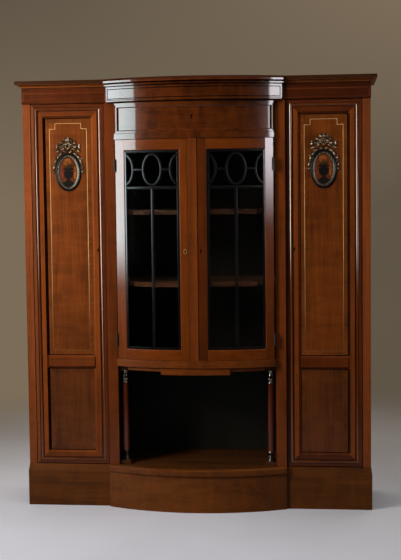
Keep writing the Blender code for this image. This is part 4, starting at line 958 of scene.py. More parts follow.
def keyhole(name, body, x, z, surface, lined=False):
    """A keyhole drawn as a pocket edge: a dark plate whose black is painted shade, and its brass lining if
    it has one.
    """
    outline = oval((x, z), KEY_HOLE_RADIUS, KEY_HOLE_RADIUS, 20, radians(-60), radians(300))
    half = KEY_SLOT_WIDTH / 2
    outline += [(x - half, z - KEY_SLOT_DROP), (x + half, z - KEY_SLOT_DROP)]
    make(f"{name}_hole", body, [plate(outline, surface, -STRING_PROUD, STRING_PROUD)], [PAINTED_SHADE_BLACK])
    if lined:
        drop, reach = (share * KEY_SLOT_DROP for share in KEY_LINING_SHARES)
        path = oval((x, z - drop), KEY_HOLE_RADIUS + KEY_LINING / 2, reach, 32)
        lining = moulding(path, half_round(KEY_LINING, 0.0, KEY_LINING_PROUD), surface)
        make(f"{name}_lining", body, [lining], [KEY_BRASS])


def frame_profile(width, thickness):
    """Door frame points as (inset, proud): band, bead's bed, flat and slope."""
    bed = BEAD_END + INNER_QUIRK_WIDTH
    points = [(0.0, -EDGE_ROUND), (EDGE_ROUND, 0.0), (BAND_WIDTH, 0.0), (BAND_WIDTH, -QUIRK_DEPTH),
              (bed, -QUIRK_DEPTH), (bed, 0.0)]
    return points + slope_points(width) + [(width, -thickness), (0.0, -thickness)]


def bead_profile():
    """A low ridge with nearly flat flanks and a round crest."""
    flank = [(BEAD_HALF_WIDTH, GAP - QUIRK_DEPTH)]
    flank += [(share * BEAD_HALF_WIDTH, rise * BEAD_RISE) for share, rise in BEAD_SHARES]
    points = [(BEAD_CENTRE - across, proud) for across, proud in flank]
    return points + [(BEAD_CENTRE + across, proud) for across, proud in reversed(flank)]


def slope_points(width):
    """The slope from the flat of a frame down to its panel."""
    start = width - SLOPE_WIDTH
    return [(start + share * SLOPE_WIDTH, -depth * SLOPE_DEPTH) for share, depth in SLOPE_SHARES]


def mid_rail(ends, levels, width, thickness, surface):
    """Rail between a door's two panels, with a slope along both its edges."""
    half, middle = (levels[1] - levels[0]) / 2, (levels[0] + levels[1]) / 2
    edge = [(half - width + inset, proud) for inset, proud in slope_points(width)]
    section = edge + [(half, -thickness), (-half, -thickness)]
    section += [(-across, proud) for across, proud in reversed(edge)]
    rings = [[(x, surface(x, proud), middle + across) for across, proud in section] for x in ends]
    return skin(rings, tints=[1])


def build_wing_door(label, side):
    """Framed door with a bead, mid rail, banded panels and a medallion."""
    body = f"wing_door_{label}"
    low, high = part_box(f"{body}_frame")
    upper, lower = (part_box(f"wing_panel_{label}_{place}") for place in ("upper", "lower"))
    face_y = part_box(f"stile_{label}")[0].y
    thickness = high.y - face_y
    surface = on_plane(face_y)
    lap = PANEL_TONGUE - GAP + FRAME_LAP
    opening = (upper[0].x + lap, upper[1].x - lap)
    width = opening[0] - low.x
    rail = (lower[1].z - lap, upper[0].z + lap)
    outline = rectangle(low.x, high.x, low.z, high.z)
    drift = BEAD_DRIFTS[label]
    bed = rectangle(low.x + drift, high.x + drift, low.z, high.z)
    make(f"{body}_bead", body, [moulding(bed, bead_profile(), surface)], [POLISHED_BEAD])
    # On the left stile the band is a paler copy as painted sheen on the left door, and dark wood as painted
    # shade on the right door.
    band = rectangle(EDGE_ROUND, BAND_WIDTH - GAP, -GAP, BANDING_PROUD)
    bands = [wood("band", "X", 3)] + [wood(kind, "Z", 3) for kind in BAND_SHEEN_AND_SHADE_KINDS[label]]
    make(f"{body}_band", body, [moulding(outline, band, surface, tints=[0, 2, 0, 1])], bands)
    # The quirk's strip on the left stile is dark wood as painted shade.
    near, far = BEAD_END + GAP, BEAD_END + INNER_QUIRK_WIDTH - GAP
    quirk = rectangle(near, far, -QUIRK_DEPTH - GAP, GAP - QUIRK_DEPTH)
    make(f"{body}_quirk", body, [moulding(outline, quirk, surface, tints=[0, 0, 0, 1])],
         [wood("band", "Z", 4), wood("dark_band", "Z", 4)])
    frame = moulding(outline, frame_profile(width, thickness), surface, tints=[1, 0, 1, 0])
    make(f"{body}_framing", body, [frame, mid_rail(opening, rail, width, thickness, surface)],
         [wood("mahogany", "Z", 3 + side), wood(RAIL_LIT_AND_SHADED_KINDS[label], "X", 3 + side)],
         [f"{body}_frame"])
    keyhole(f"{body}_key", body, side * WING_KEY_X, WING_KEY_Z, surface)
    # A near-black strip over the panel's slope on one side is painted shade.
    edge_x = high.x if DARK_SLOPES[label] > 0 else low.x
    slope = [(edge_x - DARK_SLOPES[label] * inset, face_y - proud) for inset, proud in slope_points(width)]
    for place, base, top in (("lower", low.z + width, rail[0]), ("upper", rail[1], high.z - width)):
        build_panel_dressing(label, place, opening, base, top, upper[0].y)
        section = [(x, y - GAP) for x, y in slope] + [(x, y + GAP) for x, y in reversed(slope)]
        make(f"panel_slope_{label}_{place}", body, [upright(section, (base, top))], [SHADED])
    build_stringing(label, opening, rail[1], high.z - width, upper[0].y)
    build_medallion(label, upper)


def build_panel_dressing(label, place, opening, base, top, panel_y):
    """Painted shade as dark lines in the corners round a panel, and its cross-grained banding."""
    # The lower panels' banding takes the darker lower-panel wood as painted shade.
    kind = "banding" if place == "upper" else "lower"
    dressings = (
        ("corner_line", CORNER_SHADE_WIDTH, 0.0, CORNER_SHADE_PROUD, CORNER_SHADE_TINTS[label],
         [PAINTED_SHADE_BLACK, wood(CORNER_SHADE_KINDS[label], "Z", 6)], "dark_wood"),
        ("banding", BANDING_WIDTH, -STRING_PROUD, BANDING_PROUD, [1, 0, 1, 0],
         [wood(kind, "X", 5), wood(kind, "Z", 5)], "figured_mahogany"),
    )
    for name, width, back, crest, tints, materials, slot in dressings:
        half = width / 2
        path = rectangle(opening[0] + half, opening[1] - half, base + half, top - half)
        strip = moulding(path, flat_strip(width, back, crest), on_plane(panel_y), tints=tints)
        make(f"panel_{name}_{label}_{place}", f"wing_door_{label}", [strip], materials)


def build_stringing(label, opening, base, top, panel_y):
    """Pale line on an upper panel, stepped in at its upper corners."""
    left, right = opening[0] + STRING_INSET, opening[1] - STRING_INSET
    foot, head = base + STRING_BASE_INSET, top - STRING_TOP_INSET
    step_z = head - STRING_STEP_HEIGHT
    near, far = left + STRING_STEP_WIDTH, right - STRING_STEP_WIDTH
    path = [(left, foot), (right, foot), (right, step_z), (far, step_z), (far, head), (near, head),
            (near, step_z), (left, step_z)]
    line = moulding(path, flat_strip(STRING_WIDTH, 0.0, STRING_PROUD), on_plane(panel_y))
    make(f"stringing_{label}", f"wing_door_{label}", [line], [STRING])


def build_medallion(label, panel):
    """Ebonised ring, beaded gilt ring, marquetry oval, and the mount round them."""
    body = f"wing_door_{label}"
    low, high = panel
    centre, panel_y = ((low.x + high.x) / 2, MEDALLION_Z), low.y
    gilt = [(share * GILT_WIDTH / 2, rise * GILT_PROUD) for share, rise in GILT_SHARES]
    rings = (
        ("ring", RING_WIDTH / 2, half_round(RING_WIDTH, 0.0, RING_PROUD), JET, "ebonised_wood",
         [f"medallion_{label}"]),
        ("rim", -RIM_WIDTH / 2, half_round(RIM_WIDTH, 0.0, RIM_PROUD), EBONISED, "ebonised_wood", ()),
        ("gilt", RING_WIDTH + GILT_WIDTH / 2, gilt, GILT, "brass", ()),
    )
    for part, inset, section, material, slot, replaces in rings:
        path = oval(centre, MEDALLION_HALF_WIDTH - inset, MEDALLION_HALF_HEIGHT - inset)
        ring = moulding(path, section, on_plane(panel_y))
        make(f"medallion_{part}_{label}", body, [ring], [material], replaces)
    inset = RING_WIDTH + GILT_WIDTH * GILT_BEAD_INSET_SHARE
    places = oval(centre, MEDALLION_HALF_WIDTH - inset, MEDALLION_HALF_HEIGHT - inset, GILT_BEADS)
    bead_y = panel_y - GILT_PROUD * GILT_BEAD_RISE_SHARE
    beads = [ball((x, bead_y, z), GILT_BEAD_RADIUS) for x, z in places]
    make(f"medallion_beads_{label}", body, beads, [BEAD_GILT])
    inset = RING_WIDTH + GILT_WIDTH
    build_picture(label, centre, (MEDALLION_HALF_WIDTH - inset, MEDALLION_HALF_HEIGHT - inset), panel_y)
    build_mount(label, centre, panel_y)


def frond(tilt, length):
    """Outline of a pointed leaf from the urn's mouth, in shares of the picture."""
    turned = Matrix.Rotation(radians(tilt), 2)
    spots = [turned @ Vector((along * length, across)) for along, across in FROND_SHARES]
    return [(FROND_ROOT_SHARES[0] + spot.x, FROND_ROOT_SHARES[1] + spot.y) for spot in spots]


def build_picture(label, centre, reach, panel_y):
    """Marquetry urn with leaves on a reddish oval, over a dark ground."""
    body = f"wing_door_{label}"
    surface = on_plane(panel_y - PICTURE_PROUD)
    field = oval((0.0, 0.0), FIELD_SHARE, FIELD_SHARE)
    ground = [(x, z) for x, z in oval((0.0, 0.0), GROUND_SHARE, GROUND_SHARE, 96) if z < GROUND_TOP_SHARE]
    urn = [(half, z) for half, z in URN_SHARES] + [(-half, z) for half, z in reversed(URN_SHARES)]
    inlays = [("field", [field], 0.0, ("ground", "Z", 1))]
    for name, middle, half_sizes, kind in PATCH_SHARES:
        inlays.append((name, [oval(middle, *half_sizes, 32)], INLAY_PROUD, kind))
    inlays += [
        ("ground", [ground], INLAY_PROUD, ("urn", "X", 2)),
        ("urn", [urn], URN_PROUD, ("urn", "Z", 1)),
        ("fronds", [frond(*sizes) for sizes in FROND_LENGTH_SHARES], FROND_PROUD, ("olive", "Z", 3)),
    ]
    for name, outlines, proud, kind in inlays:
        skins = []
        for index, outline in enumerate(outlines):
            points = [(centre[0] + x * reach[0], centre[1] + z * reach[1]) for x, z in outline]
            skins.append(plate(points, surface, -PICTURE_PROUD / 2, proud + index * FROND_STEP))
        make(f"picture_{name}_{label}", body, skins, [wood(*kind)])
    handles = []
    for _, way in SIDES:
        x = centre[0] + way * HANDLE_PLACE_SHARES[0] * reach[0]
        z = centre[1] + HANDLE_PLACE_SHARES[1] * reach[1]
        path = oval((x, z), HANDLE_REACH_SHARES[0] * reach[0], HANDLE_REACH_SHARES[1] * reach[1], 24)
        handles.append(moulding(path, flat_strip(HANDLE_WIDTH, 0.0, URN_PROUD), surface))
    make(f"picture_handles_{label}", body, handles, [wood("urn", "X", 4)])


def leaf(root, tip, width, back, rise):
    """A pointed leaf with a raised rib, lying on a panel."""
    root, tip = Vector(root), Vector(tip)
    along = (tip - root).normalized()
    across = Vector((-along.y, along.x))
    rings = []
    for share, spread_share in LEAF_SHARES:
        ring = []
        for side, lift in RIB_SHARES:
            edge = root.lerp(tip, share) + across * side * width / 2 * spread_share
            height = rise * (LEAF_EDGE_SHARE + lift * LEAF_RIB_SHARE * spread_share)
            ring.append((edge.x, back - height, edge.y))
        ring += [(ring[-1][0], back, ring[-1][2]), (ring[0][0], back, ring[0][2])]
        rings.append(ring)
    return skin(rings)


def mount_spot(centre, side, x, z):
    """A point of the mount from its shares, on one side of the medallion."""
    return Vector((centre[0] + side * x * MEDALLION_HALF_HEIGHT, centre[1] + z * MEDALLION_HALF_HEIGHT))


def build_mount(label, centre, panel_y):
    """Gilt ribbon bow with a crest and two sprays of leaves round the rim."""
    unit = MEDALLION_HALF_HEIGHT
    skins = []
    for _, side in SIDES:
        spot = partial(mount_spot, centre, side)
        skins += ribbons(spot, unit, panel_y)
        skins += sprays(spot, side, unit, panel_y)
        skins += blooms(spot, side, unit, panel_y)
    for z, half in KNOT_SHARES:
        knot = (centre[0], panel_y - MOUNT_RISE * KNOT_RISE_SHARE, centre[1] + z * unit)
        skins.append(ball(knot, half * unit))
    make(f"ribbon_mount_{label}", f"wing_door_{label}", skins, [MOUNT_GILT])


def ribbons(spot, unit, back):
    """The bow's loops and its tail: ribbons with raised edges."""
    skins = []

    def ribbon(path, rise_share, closed):
        section = [(share * RIBBON_HALF, lift * MOUNT_RISE * rise_share) for share, lift in RIBBON_SHARES]
        skins.append(moulding(path, section, on_plane(back), closed))

    for (x, z), (across, up), tilt in LOOP_SHARES:
        turned = [Matrix.Rotation(tilt, 2) @ Vector(point) for point in oval((0.0, 0.0), across, up, 24)]
        ribbon([spot(x + point.x, z + point.y) for point in turned], LOOP_RISE_SHARE, True)
    tail = [spot(x, z) for x, z in TAIL_SHARES]
    ribbon(dense(tail, False, unit / TAIL_STEPS), TAIL_RISE_SHARE, False)
    return skins


def sprays(spot, side, unit, back):
    """Pairs of leaves that follow the medallion's rim."""
    rim = MEDALLION_HALF_WIDTH / unit + SPRAY_ROOT_SHARES[0]
    skins = []
    for index in range(SPRAY_LEAVES):
        turn = SPRAY_START - SPRAY_SWEEP * index / (SPRAY_LEAVES - 1)
        root = spot(rim * cos(turn), SPRAY_ROOT_SHARES[1] * sin(turn))
        for fan, reach in zip((SPRAY_FAN, 0.0), SPRAY_REACH_SHARES):
            way = turn - SPRAY_LEAN + fan
            tip = root + reach * unit * Vector((side * cos(way), sin(way)))
            skins.append(leaf(root, tip, SPRAY_LEAF_WIDTH_SHARE * unit, back, MOUNT_RISE * SPRAY_RISE_SHARE))
    return skins


def blooms(spot, side, unit, back):
    """Leaves of the crest, plump leaves of several sizes, and buds."""
    skins = []
    for x, z, tip_x, tip_z in CREST_SHARES:
        width = CREST_LEAF_WIDTH_SHARE * unit
        skins.append(leaf(spot(x, z), spot(tip_x, tip_z), width, back, MOUNT_RISE * CREST_RISE_SHARE))
    for index, (x, z, tilt) in enumerate(BLOOM_PLACE_SHARES):
        size = BLOOM_SIZE_SHARES[(2 * index + side) % len(BLOOM_SIZE_SHARES)]
        reach, turn = size * BLOOM_LENGTH_SHARE / 2, radians(tilt)
        across, up = reach * cos(turn), reach * sin(turn)
        rise = MOUNT_RISE * (BLOOM_RISE_SHARES[0] + BLOOM_RISE_SHARES[1] * size)
        width = size * BLOOM_WIDTH_SHARE * unit
        skins.append(leaf(spot(x - across, z - up), spot(x + across, z + up), width, back, rise))
    for x, z in BUD_SHARES:
        place = spot(x, z)
        skins.append(ball((place.x, back - MOUNT_RISE * BUD_RISE_SHARE, place.y), BUD_RADIUS, BUD_STRETCH))
    return skins


def ball(centre, radius, stretch=1.0, steps=8):
    """A small sphere, or an upright egg, as a skin of rings."""
    rings = []
    for level in range(1, steps // 2):
        turn = pi * level / (steps // 2)
        size, y = radius * sin(turn), centre[1] + radius * cos(turn)
        circle = oval((centre[0], centre[2]), size, size * stretch, steps)
        rings.append([(x, y, z) for x, z in circle])
    return skin(rings)


def build_glass_door(label, side):
    """Bowed frame with a lip round the glass, pane, lattice and hinges."""
    body = f"glass_door_{label}"
    low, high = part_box(f"{body}_frame")
    near_stile, far_stile = GLASS_STILE_WIDTHS[label]
    window = (low.x + near_stile, high.x - far_stile)
    base, top = low.z + GLASS_BOTTOM_RAIL, high.z - GLASS_TOP_RAIL
    depth = (DOOR_PROUD, DOOR_PROUD - GLASS_FRAME_THICKNESS)
    stiles = [
        bowed_bar((low.x, window[0]), (low.z, high.z), *depth),
        bowed_bar((window[1], high.x), (low.z, high.z), *depth, STILE_EASE[label]),
    ]
    if side > 0:
        make(f"{body}_meeting_stile", body, stiles[:1], [wood("shade", "Z", 3)], (), ARRIS / 2)
        stiles = stiles[1:]
    make(f"{body}_stiles", body, stiles, [wood("door", "Z", 3 + side)], [f"{body}_frame"],
         ARRIS / 2)
    rails = [bowed_bar(window, levels, *depth) for levels in ((low.z, base), (top, high.z))]
    make(f"{body}_rails", body, rails, [wood("door", "X", 4 + side)], (), ARRIS / 2)
    lip = [(0.0, -LIP_DEPTH)] + oval((0.0, -LIP_DEPTH - ARRIS), LIP_WIDTH, LIP_DEPTH, 5, 0.0, pi / 2)
    lip += [(-ARRIS, -ARRIS), (-ARRIS, -LIP_DEPTH)]
    path = dense(rectangle(*window, base, top), True)
    make(f"{body}_lip", body, [moulding(path, lip, on_bow(DOOR_PROUD))], [wood("rail", "Z", 6)])
    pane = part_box(f"glass_pane_{label}")
    sheet = bowed_bar(
        (pane[0].x, pane[1].x), (pane[0].z, pane[1].z), DOOR_PROUD - PANE_FRONT, DOOR_PROUD - PANE_BACK,
    )
    make(f"pane_{label}", body, [sheet], [GLASS], [f"glass_pane_{label}"])
    build_lattice(label, window, base, top)
    key_x = (low.x if side > 0 else high.x) + side * GLASS_KEY_INSET
    keyhole(f"{body}_key", body, key_x, GLASS_KEY_Z, on_bow(DOOR_PROUD), lined=side < 0)
    build_hinges(label, side)


def build_lattice(label, window, base, top):
    """Bars before the glass: border, cross bar, upright, ovals and their links."""
    body = f"glass_door_{label}"
    left, right = window[0] + LATTICE_INSET, window[1] - LATTICE_INSET
    low, high = base + LATTICE_INSET, top - LATTICE_INSET
    middle = (left + right) / 2 + LATTICE_DRIFTS[label]
    bar_z = top - LATTICE_BAND_HEIGHT - LATTICE_BAR / 2
    centre_z = (high + bar_z) / 2

    def bar(path, width, closed=False):
        return moulding(path, soft_bar(width, -LATTICE_BACK, -LATTICE_FRONT), on_bow(DOOR_PROUD), closed)

    outer, inner = (left, right) if label == "left" else (right, left)
    side_bar = bar(dense([(outer, low), (outer, high)]), LATTICE_BORDER)
    make(f"lattice_outer_bar_{label}", body, [side_bar], [JET_GLOSS])
    border = bar(dense([(outer, low), (inner, low), (inner, high), (outer, high)]), LATTICE_BORDER)
    make(f"lattice_border_{label}", body, [border], [DULL_JET])
    across = (LATTICE_OVAL_WIDTH - LATTICE_OVAL_BAR) / 2
    up = (LATTICE_OVAL_HEIGHT - LATTICE_OVAL_BAR) / 2
    skins = [bar(dense(path), LATTICE_BAR) for path in (
        [(left, bar_z), (right, bar_z)], [(middle, low), (middle, bar_z)],
    )]
    skins.append(bar(oval((middle, centre_z), across, up), LATTICE_OVAL_BAR, True))
    for x, start in zip(window, (radians(-80), radians(100))):
        half_oval = oval((x, centre_z), across, up, HALF_OVAL_STEPS, start, HALF_OVAL_TURN)
        skins.append(bar(half_oval, LATTICE_OVAL_BAR))
    for start, end in ((window[0] + across, middle - across), (middle + across, window[1] - across)):
        skins.append(bar(dense([(start, centre_z), (end, centre_z)]), LATTICE_LINK))
    make(f"lattice_{label}", body, skins, [EBONISED if label == "left" else DULL_JET],
         [f"tracery_{label}"])


def lathe(centre, profile, steps=48):
    """A turned form from (radius, z) points."""
    return skin([[(x, y, z) for x, y in oval(centre, radius, radius, steps)] for radius, z in profile])


def build_hinges(label, side):
    """Butt hinges: a barrel of knuckles with button ends, and its leaf."""
    for place in ("upper", "lower"):
        node = f"glass_hinge_{label}_{place}"
        low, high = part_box(node)
        inner, outer = (low.x, high.x) if side > 0 else (high.x, low.x)
        centre = (inner + side * KNUCKLE_RADIUS, low.y + KNUCKLE_RADIUS)
        length = (high.z - low.z) / KNUCKLES
        end = KNUCKLE_RADIUS * KNUCKLE_END_SHARE
        skins = []
        for index in range(KNUCKLES):
            start = low.z + index * length
            shape = ((end, start), (KNUCKLE_RADIUS, start + KNUCKLE_ROUND),
                     (KNUCKLE_RADIUS, start + length - KNUCKLE_ROUND), (end, start + length))
            skins.append(lathe(centre, shape, 24))
        leaf_outline = rectangle(outer - side * HINGE_LEAF, outer, centre[1], high.y)
        skins.append(upright(leaf_outline, (low.z, high.z)))
        make(f"butt_hinge_{label}_{place}", "carcass", skins, [STEEL], [node])


def drawer_border(width, slope):
    """Section of the drawer's border as (inset, proud): arris, flat and slope."""
    sunk = -GAP - DRAWER_FIELD_DEPTH
    flat = width - slope
    points = [(0.0, sunk), (0.0, -ARRIS), (ARRIS, 0.0), (flat, 0.0)]
    return points + [(flat + slope * share, sunk * depth) for share, depth in DRAWER_SLOPE_SHARES]


def build_drawer():
    """Bowed drawer front: raised border whose inner edge slopes to a sunk field."""
    low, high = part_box("drawer_front")
    field = DOOR_PROUD - DRAWER_FIELD_DEPTH
    front = bowed_bar((low.x, high.x), (low.z, high.z), field, DOOR_PROUD - DRAWER_FRONT_THICKNESS)
    make("drawer_front_field", "drawer", [front], [wood("bow", "X", 7)],
         ["drawer_front"])
    left, right = DRAWER_SIDE_BORDERS
    shapes = [
        drawer_border(DRAWER_BASE_BORDER, DRAWER_SLOPE), drawer_border(right, DRAWER_SIDE_SLOPE),
        drawer_border(DRAWER_TOP_BORDER, DRAWER_SLOPE), drawer_border(left, DRAWER_SIDE_SLOPE),
    ]
    outline = rectangle(low.x, high.x, low.z, high.z)
    skins = [skin(mitred_side(outline, index, shapes, on_bow(DOOR_PROUD))) for index in range(len(shapes))]
    make("drawer_border_ends", "drawer", skins[1::2], [wood("bow", "Z", 8)])
    make("drawer_border_rails", "drawer", skins[::2], [wood("bow", "X", 8)])
    # Black strips along the foot of the border's side slopes are painted shade.
    base, top = low.z + DRAWER_BASE_BORDER, high.z - DRAWER_TOP_BORDER
    strip = flat_strip(DRAWER_SHADE_LINE_WIDTH, 0.0, DRAWER_SHADE_LINE_PROUD)
    ends = (low.x + left, high.x - right)
    lines = [moulding([(x, base), (x, top)], strip, on_bow(field), False) for x in ends]
    make("drawer_field_painted_shade", "drawer", lines, [PAINTED_SHADE_BLACK])
    keyhole("drawer_key", "drawer", 0.0, DRAWER_KEY_Z, on_bow(field))


def mitred_side(outline, index, shapes, surface):
    """Rings of one side of a border whose sides differ in width, with mitred ends."""
    count = len(outline)
    start, end = Vector(outline[index]), Vector(outline[(index + 1) % count])
    along = (end - start).normalized()
    inward = Vector((-along.y, along.x))
    before, after = shapes[index - 1], shapes[(index + 1) % count]
    rings = []
    steps = max(1, ceil((end - start).length / BOW_STEP))
    for step in range(steps + 1):
        share = step / steps
        ring = []
        for (inset, proud), (first, _), (last, _) in zip(shapes[index], before, after):
            near, far = start + along * first, end - along * last
            spot = near.lerp(far, share) + inward * inset
            ring.append((spot.x, surface(spot.x, proud), spot.y))
        rings.append(ring)
    return rings


def build_bow_edges():
    """Face of the post between the doors, and the bowed edges of two boards."""
    low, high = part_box("centre_post")
    post = bowed_bar((low.x, high.x), (low.z, high.z), POST_PROUD, POST_PROUD - POST_THICKNESS)
    make("centre_post_face", "carcass", [post], [wood("rail", "Z", 9)], ["centre_post"],
         ARRIS / 2)
    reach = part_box("drawer_front")[1].x
    for node, kind, seed in (("drawer_rail", "bow", 10), ("display_floor", "edge", 11)):
        low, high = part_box(node)
        edge = bowed_bar((-reach, reach), (low.z, high.z), RAIL_PROUD + GAP, RAIL_PROUD - BOARD_EDGE_DEPTH)
        make(f"{node}_edge", "carcass", [edge], [wood(kind, "X", seed)], (), ARRIS)


def build_apron():
    """Thin bowed apron over the niche, with a dropped tablet."""
    low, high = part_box("apron")
    face = BOW_APEX_Y - low.y - TABLET_PROUD
    skins = [
        bowed_bar((low.x, high.x), (high.z - APRON_HEIGHT, high.z), face, face - APRON_THICKNESS),
        bowed_bar(TABLET_RANGE, (low.z, high.z - TABLET_DROP), face + TABLET_PROUD, face - TABLET_DEPTH),
    ]
    make("apron_shape", "carcass", skins, [wood("edge", "X", 12)], ["apron"], ARRIS)


def build_plinth_bow():
    """Bowed plinth board with a rounded lip along its top."""
    low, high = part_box("plinth_bow")
    height, lip, radius = high.z - low.z, BOW_APEX_Y - low.y, PLINTH_LIP_ROUND
    body, edge_z = lip - PLINTH_LIP_PROUD, height - PLINTH_LIP_HEIGHT
    section = [
        (body, 0.0),
        (body, edge_z),
        *oval((lip - radius, edge_z + radius), radius, radius, 6, -pi / 2, pi / 2),
        *oval((lip - radius, height - radius), radius, radius, 6, 0.0, pi / 2),
        (body - PLINTH_BOW_THICKNESS, height),
        (body - PLINTH_BOW_THICKNESS, 0.0),
    ]
    make("plinth_bow_front", "carcass", [along_bow(section, low, high)], [wood("plinth_bow", "X", 1)],
         ["plinth_bow"])


def turned(shares, foot_z, end_share, end_z):
    """Profile of a turning from its shares, up to a flat end."""
    points = []
    for sizes in shares:
        radius, height, *rest = (COLUMN_RADIUS * share for share in sizes)
        if rest:
            swell, (height, thickness) = height, rest
            points += oval((radius, foot_z + height), swell, thickness / 2, 6, -pi / 2, pi)
        else:
            points.append((radius, foot_z + height))
    return points + [(COLUMN_RADIUS * end_share, end_z), (0.0, end_z)]


def shaft_profile(foot_z, head_z):
    """Profile of a shaft that swells a little and tapers upwards."""
    points = [(0.0, foot_z)]
    for index in range(SHAFT_STEPS + 1):
        share = index / SHAFT_STEPS
        size = SHAFT_FOOT_SHARE + SHAFT_SWELL_SHARE * sin(pi * share) - SHAFT_TAPER_SHARE * share ** 2
        points.append((COLUMN_RADIUS * size, foot_z + (head_z - foot_z) * share))
    return points + [(0.0, head_z)]


def build_columns():
    """Turned shaft between a brass attic base and a bell capital, on square blocks."""
    # The right column takes a darker copy of the shaft wood as painted shade.
    for label, kind, seed in (("left", "shaft", 1), ("right", "shaft_painted_shade", 3)):
        low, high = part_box(f"column_brass_{label}")
        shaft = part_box(f"column_shaft_{label}")
        x, y = centre = ((low.x + high.x) / 2, (low.y + high.y) / 2)
        foot_z, head_z = low.z + FOOT_BLOCK_HEIGHT, high.z - HEAD_BLOCK_HEIGHT
        base_top, cap_base = shaft[0].z, shaft[1].z
        capital = lathe(centre, turned(CAPITAL_SHARES, cap_base, CAPITAL_END_SHARE, head_z))
        make(f"column_capital_{label}", "carcass", [capital], [COLUMN_BRASS],
             [f"column_brass_{label}"])
        foot = lathe(centre, turned(FOOT_SHARES, foot_z, FOOT_END_SHARE, base_top))
        make(f"column_foot_{label}", "carcass", [foot], [FOOT_BRASS_PAINTED_SHADE])
        blocks = [
            upright(rectangle(x - half, x + half, y - half, y + half), levels)
            for half, levels in (
                ((high.x - low.x) / 2, (low.z, foot_z)), (HEAD_BLOCK_HALF, (head_z, high.z)),
            )
        ]
        make(f"column_blocks_{label}", "carcass", blocks, [wood("niche", "Z", 6)], (), ARRIS)
        turning = lathe(centre, shaft_profile(base_top, cap_base))
        make(f"column_turning_{label}", "carcass", [turning], [wood(kind, "Z", seed)],
             [f"column_shaft_{label}"])


BACK_DARK = (0.060, 0.028, 0.011)
BACK_LIGHT = (0.130, 0.066, 0.028)

CAD_WOODS = (
    # wood, grain, seed of the first board, boards
    ("plinth", "X", 2, "plinth_left plinth_right"),
    ("inner", "X", 1, "plinth_back top_board wing_shelf_left wing_shelf_right drawer_back drawer_bottom"),
    ("inner", "Y", 1, "drawer_side_left drawer_side_right"),
    # The niche floor takes a dark wood as painted shade.
    ("niche", "X", 4, "bottom_board"),
    ("mahogany", "Z", 7, "side_left side_right"),
    ("mahogany", "X", 5, "drawer_rail display_floor"),
    ("stile", "Z", 9, "stile_left stile_right"),
    ("post", "Z", 11, "pilaster_left"),
    # The right pilaster takes the darker rail wood as painted shade.
    ("rail", "Z", 12, "pilaster_right"),
    # Partitions and back are near-black as painted shade inside the case and niche.
    ("dark", "Z", 1, "partition_left partition_right back_panel"),
    ("shelf", "X", 1, "display_shelf_lower display_shelf_upper"),
    # Lower panels take a darker wood as painted shade.
    ("lower", "Z", 3, "wing_panel_left_lower"),
    ("lower", "Z", 5, "wing_panel_right_lower"),
    ("figured", "Z", 4, "wing_panel_left_upper"),
    # The right upper panel takes a darker copy of the figured wood as painted shade.
    ("figured_painted_shade", "Z", 6, "wing_panel_right_upper"),
)


def back_wood(low, high):
    """Turn the back panel's wood from near-black painted shade in the niche to plain brown behind."""
    tree, shader = shader_of(wood("dark", "Z", 3))
    place = add(tree, "TexCoord").outputs["Object"]
    outside = spread(tree, coordinate(tree, "Y"), (low.y + high.y) / 2, high.y - GAP)
    fibre = noise(tree, place, *NOISES["rough_board"])
    brown = ramp(tree, fibre, (0.35, BACK_DARK), (0.65, BACK_LIGHT))
    feed(tree, shader, Base_Color=mix(tree, outside, colour_source(shader), brown))


def dress_cad_nodes():
    """Give the boards that stay their wood, and worn arrises."""
    back_wood(*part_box("back_panel"))
    for kind, grain, first, names in CAD_WOODS:
        for seed, name in enumerate(names.split(), first):
            node = frame["nodes"][name]
            node.data.materials.clear()
            node.data.materials.append(wood(kind, grain, seed))
            weld = node.modifiers.new("joined_edges", "WELD")
            weld.merge_threshold = WELD_REACH
            round_edges(node, ARRIS)
    for name, node in frame["nodes"].items():
        if name.startswith("wing_pivot"):
            node.data.materials.clear()
            node.data.materials.append(STEEL)


BACKDROP_DARK = (0.112, 0.088, 0.061)
BACKDROP_LIGHT = (0.198, 0.150, 0.098)
BACKDROP_CROSSING = (0.108, 0.0, -0.075)
BACKDROP_REACH = 0.0125
BACKDROP_SHOWS = (-0.35, 0.25)
ROOM_DARK = (0.012, 0.011, 0.010, 1.0)
# The pale near colour and its fade to the far colour paint a pool of light on the floor.
FLOOR_NEAR = (0.590, 0.578, 0.612)
FLOOR_FAR = (0.27, 0.240, 0.21)
FLOOR_CLOUD = (0.93, 0.93, 0.93)
FLOOR_BOUNCE = (0.25, 0.25, 0.25)
FLOOR_REACH = 60.0
SWEEP_START = 1.5
SWEEP_END = 3.3
PAINTED_LIGHT_CENTRE = (0.5, 1.6, 0.0)
PAINTED_LIGHT_START = 0.8
PAINTED_LIGHT_END = 3.3
FILL_LEVEL = 0.16
FILL_COLOUR = (0.95, 0.96, 1.0, 1.0)
LAMPS = {
    "key": {
        "place": (-2.2, -2.0, 2.35), "aim": (-0.35, -0.1, 1.25), "width": 1.0, "height": 1.2,
        "power": 38.0, "colour": (1.0, 0.99, 0.97), "angle": 110.0,
    },
    "ceiling": {
        "place": (0.2, -0.6, 3.6), "aim": (0.2, -0.6, 0.0), "width": 3.4, "height": 2.6,
        "power": 66.0, "colour": (0.97, 0.98, 1.0), "angle": 180.0,
    },
    "back_wash": {
        "place": (0.3, 1.3, 3.0), "aim": (0.3, 0.9, 0.0), "width": 3.6, "height": 1.0,
        "power": 24.0, "colour": (0.97, 0.98, 1.0), "angle": 120.0,
    },
}
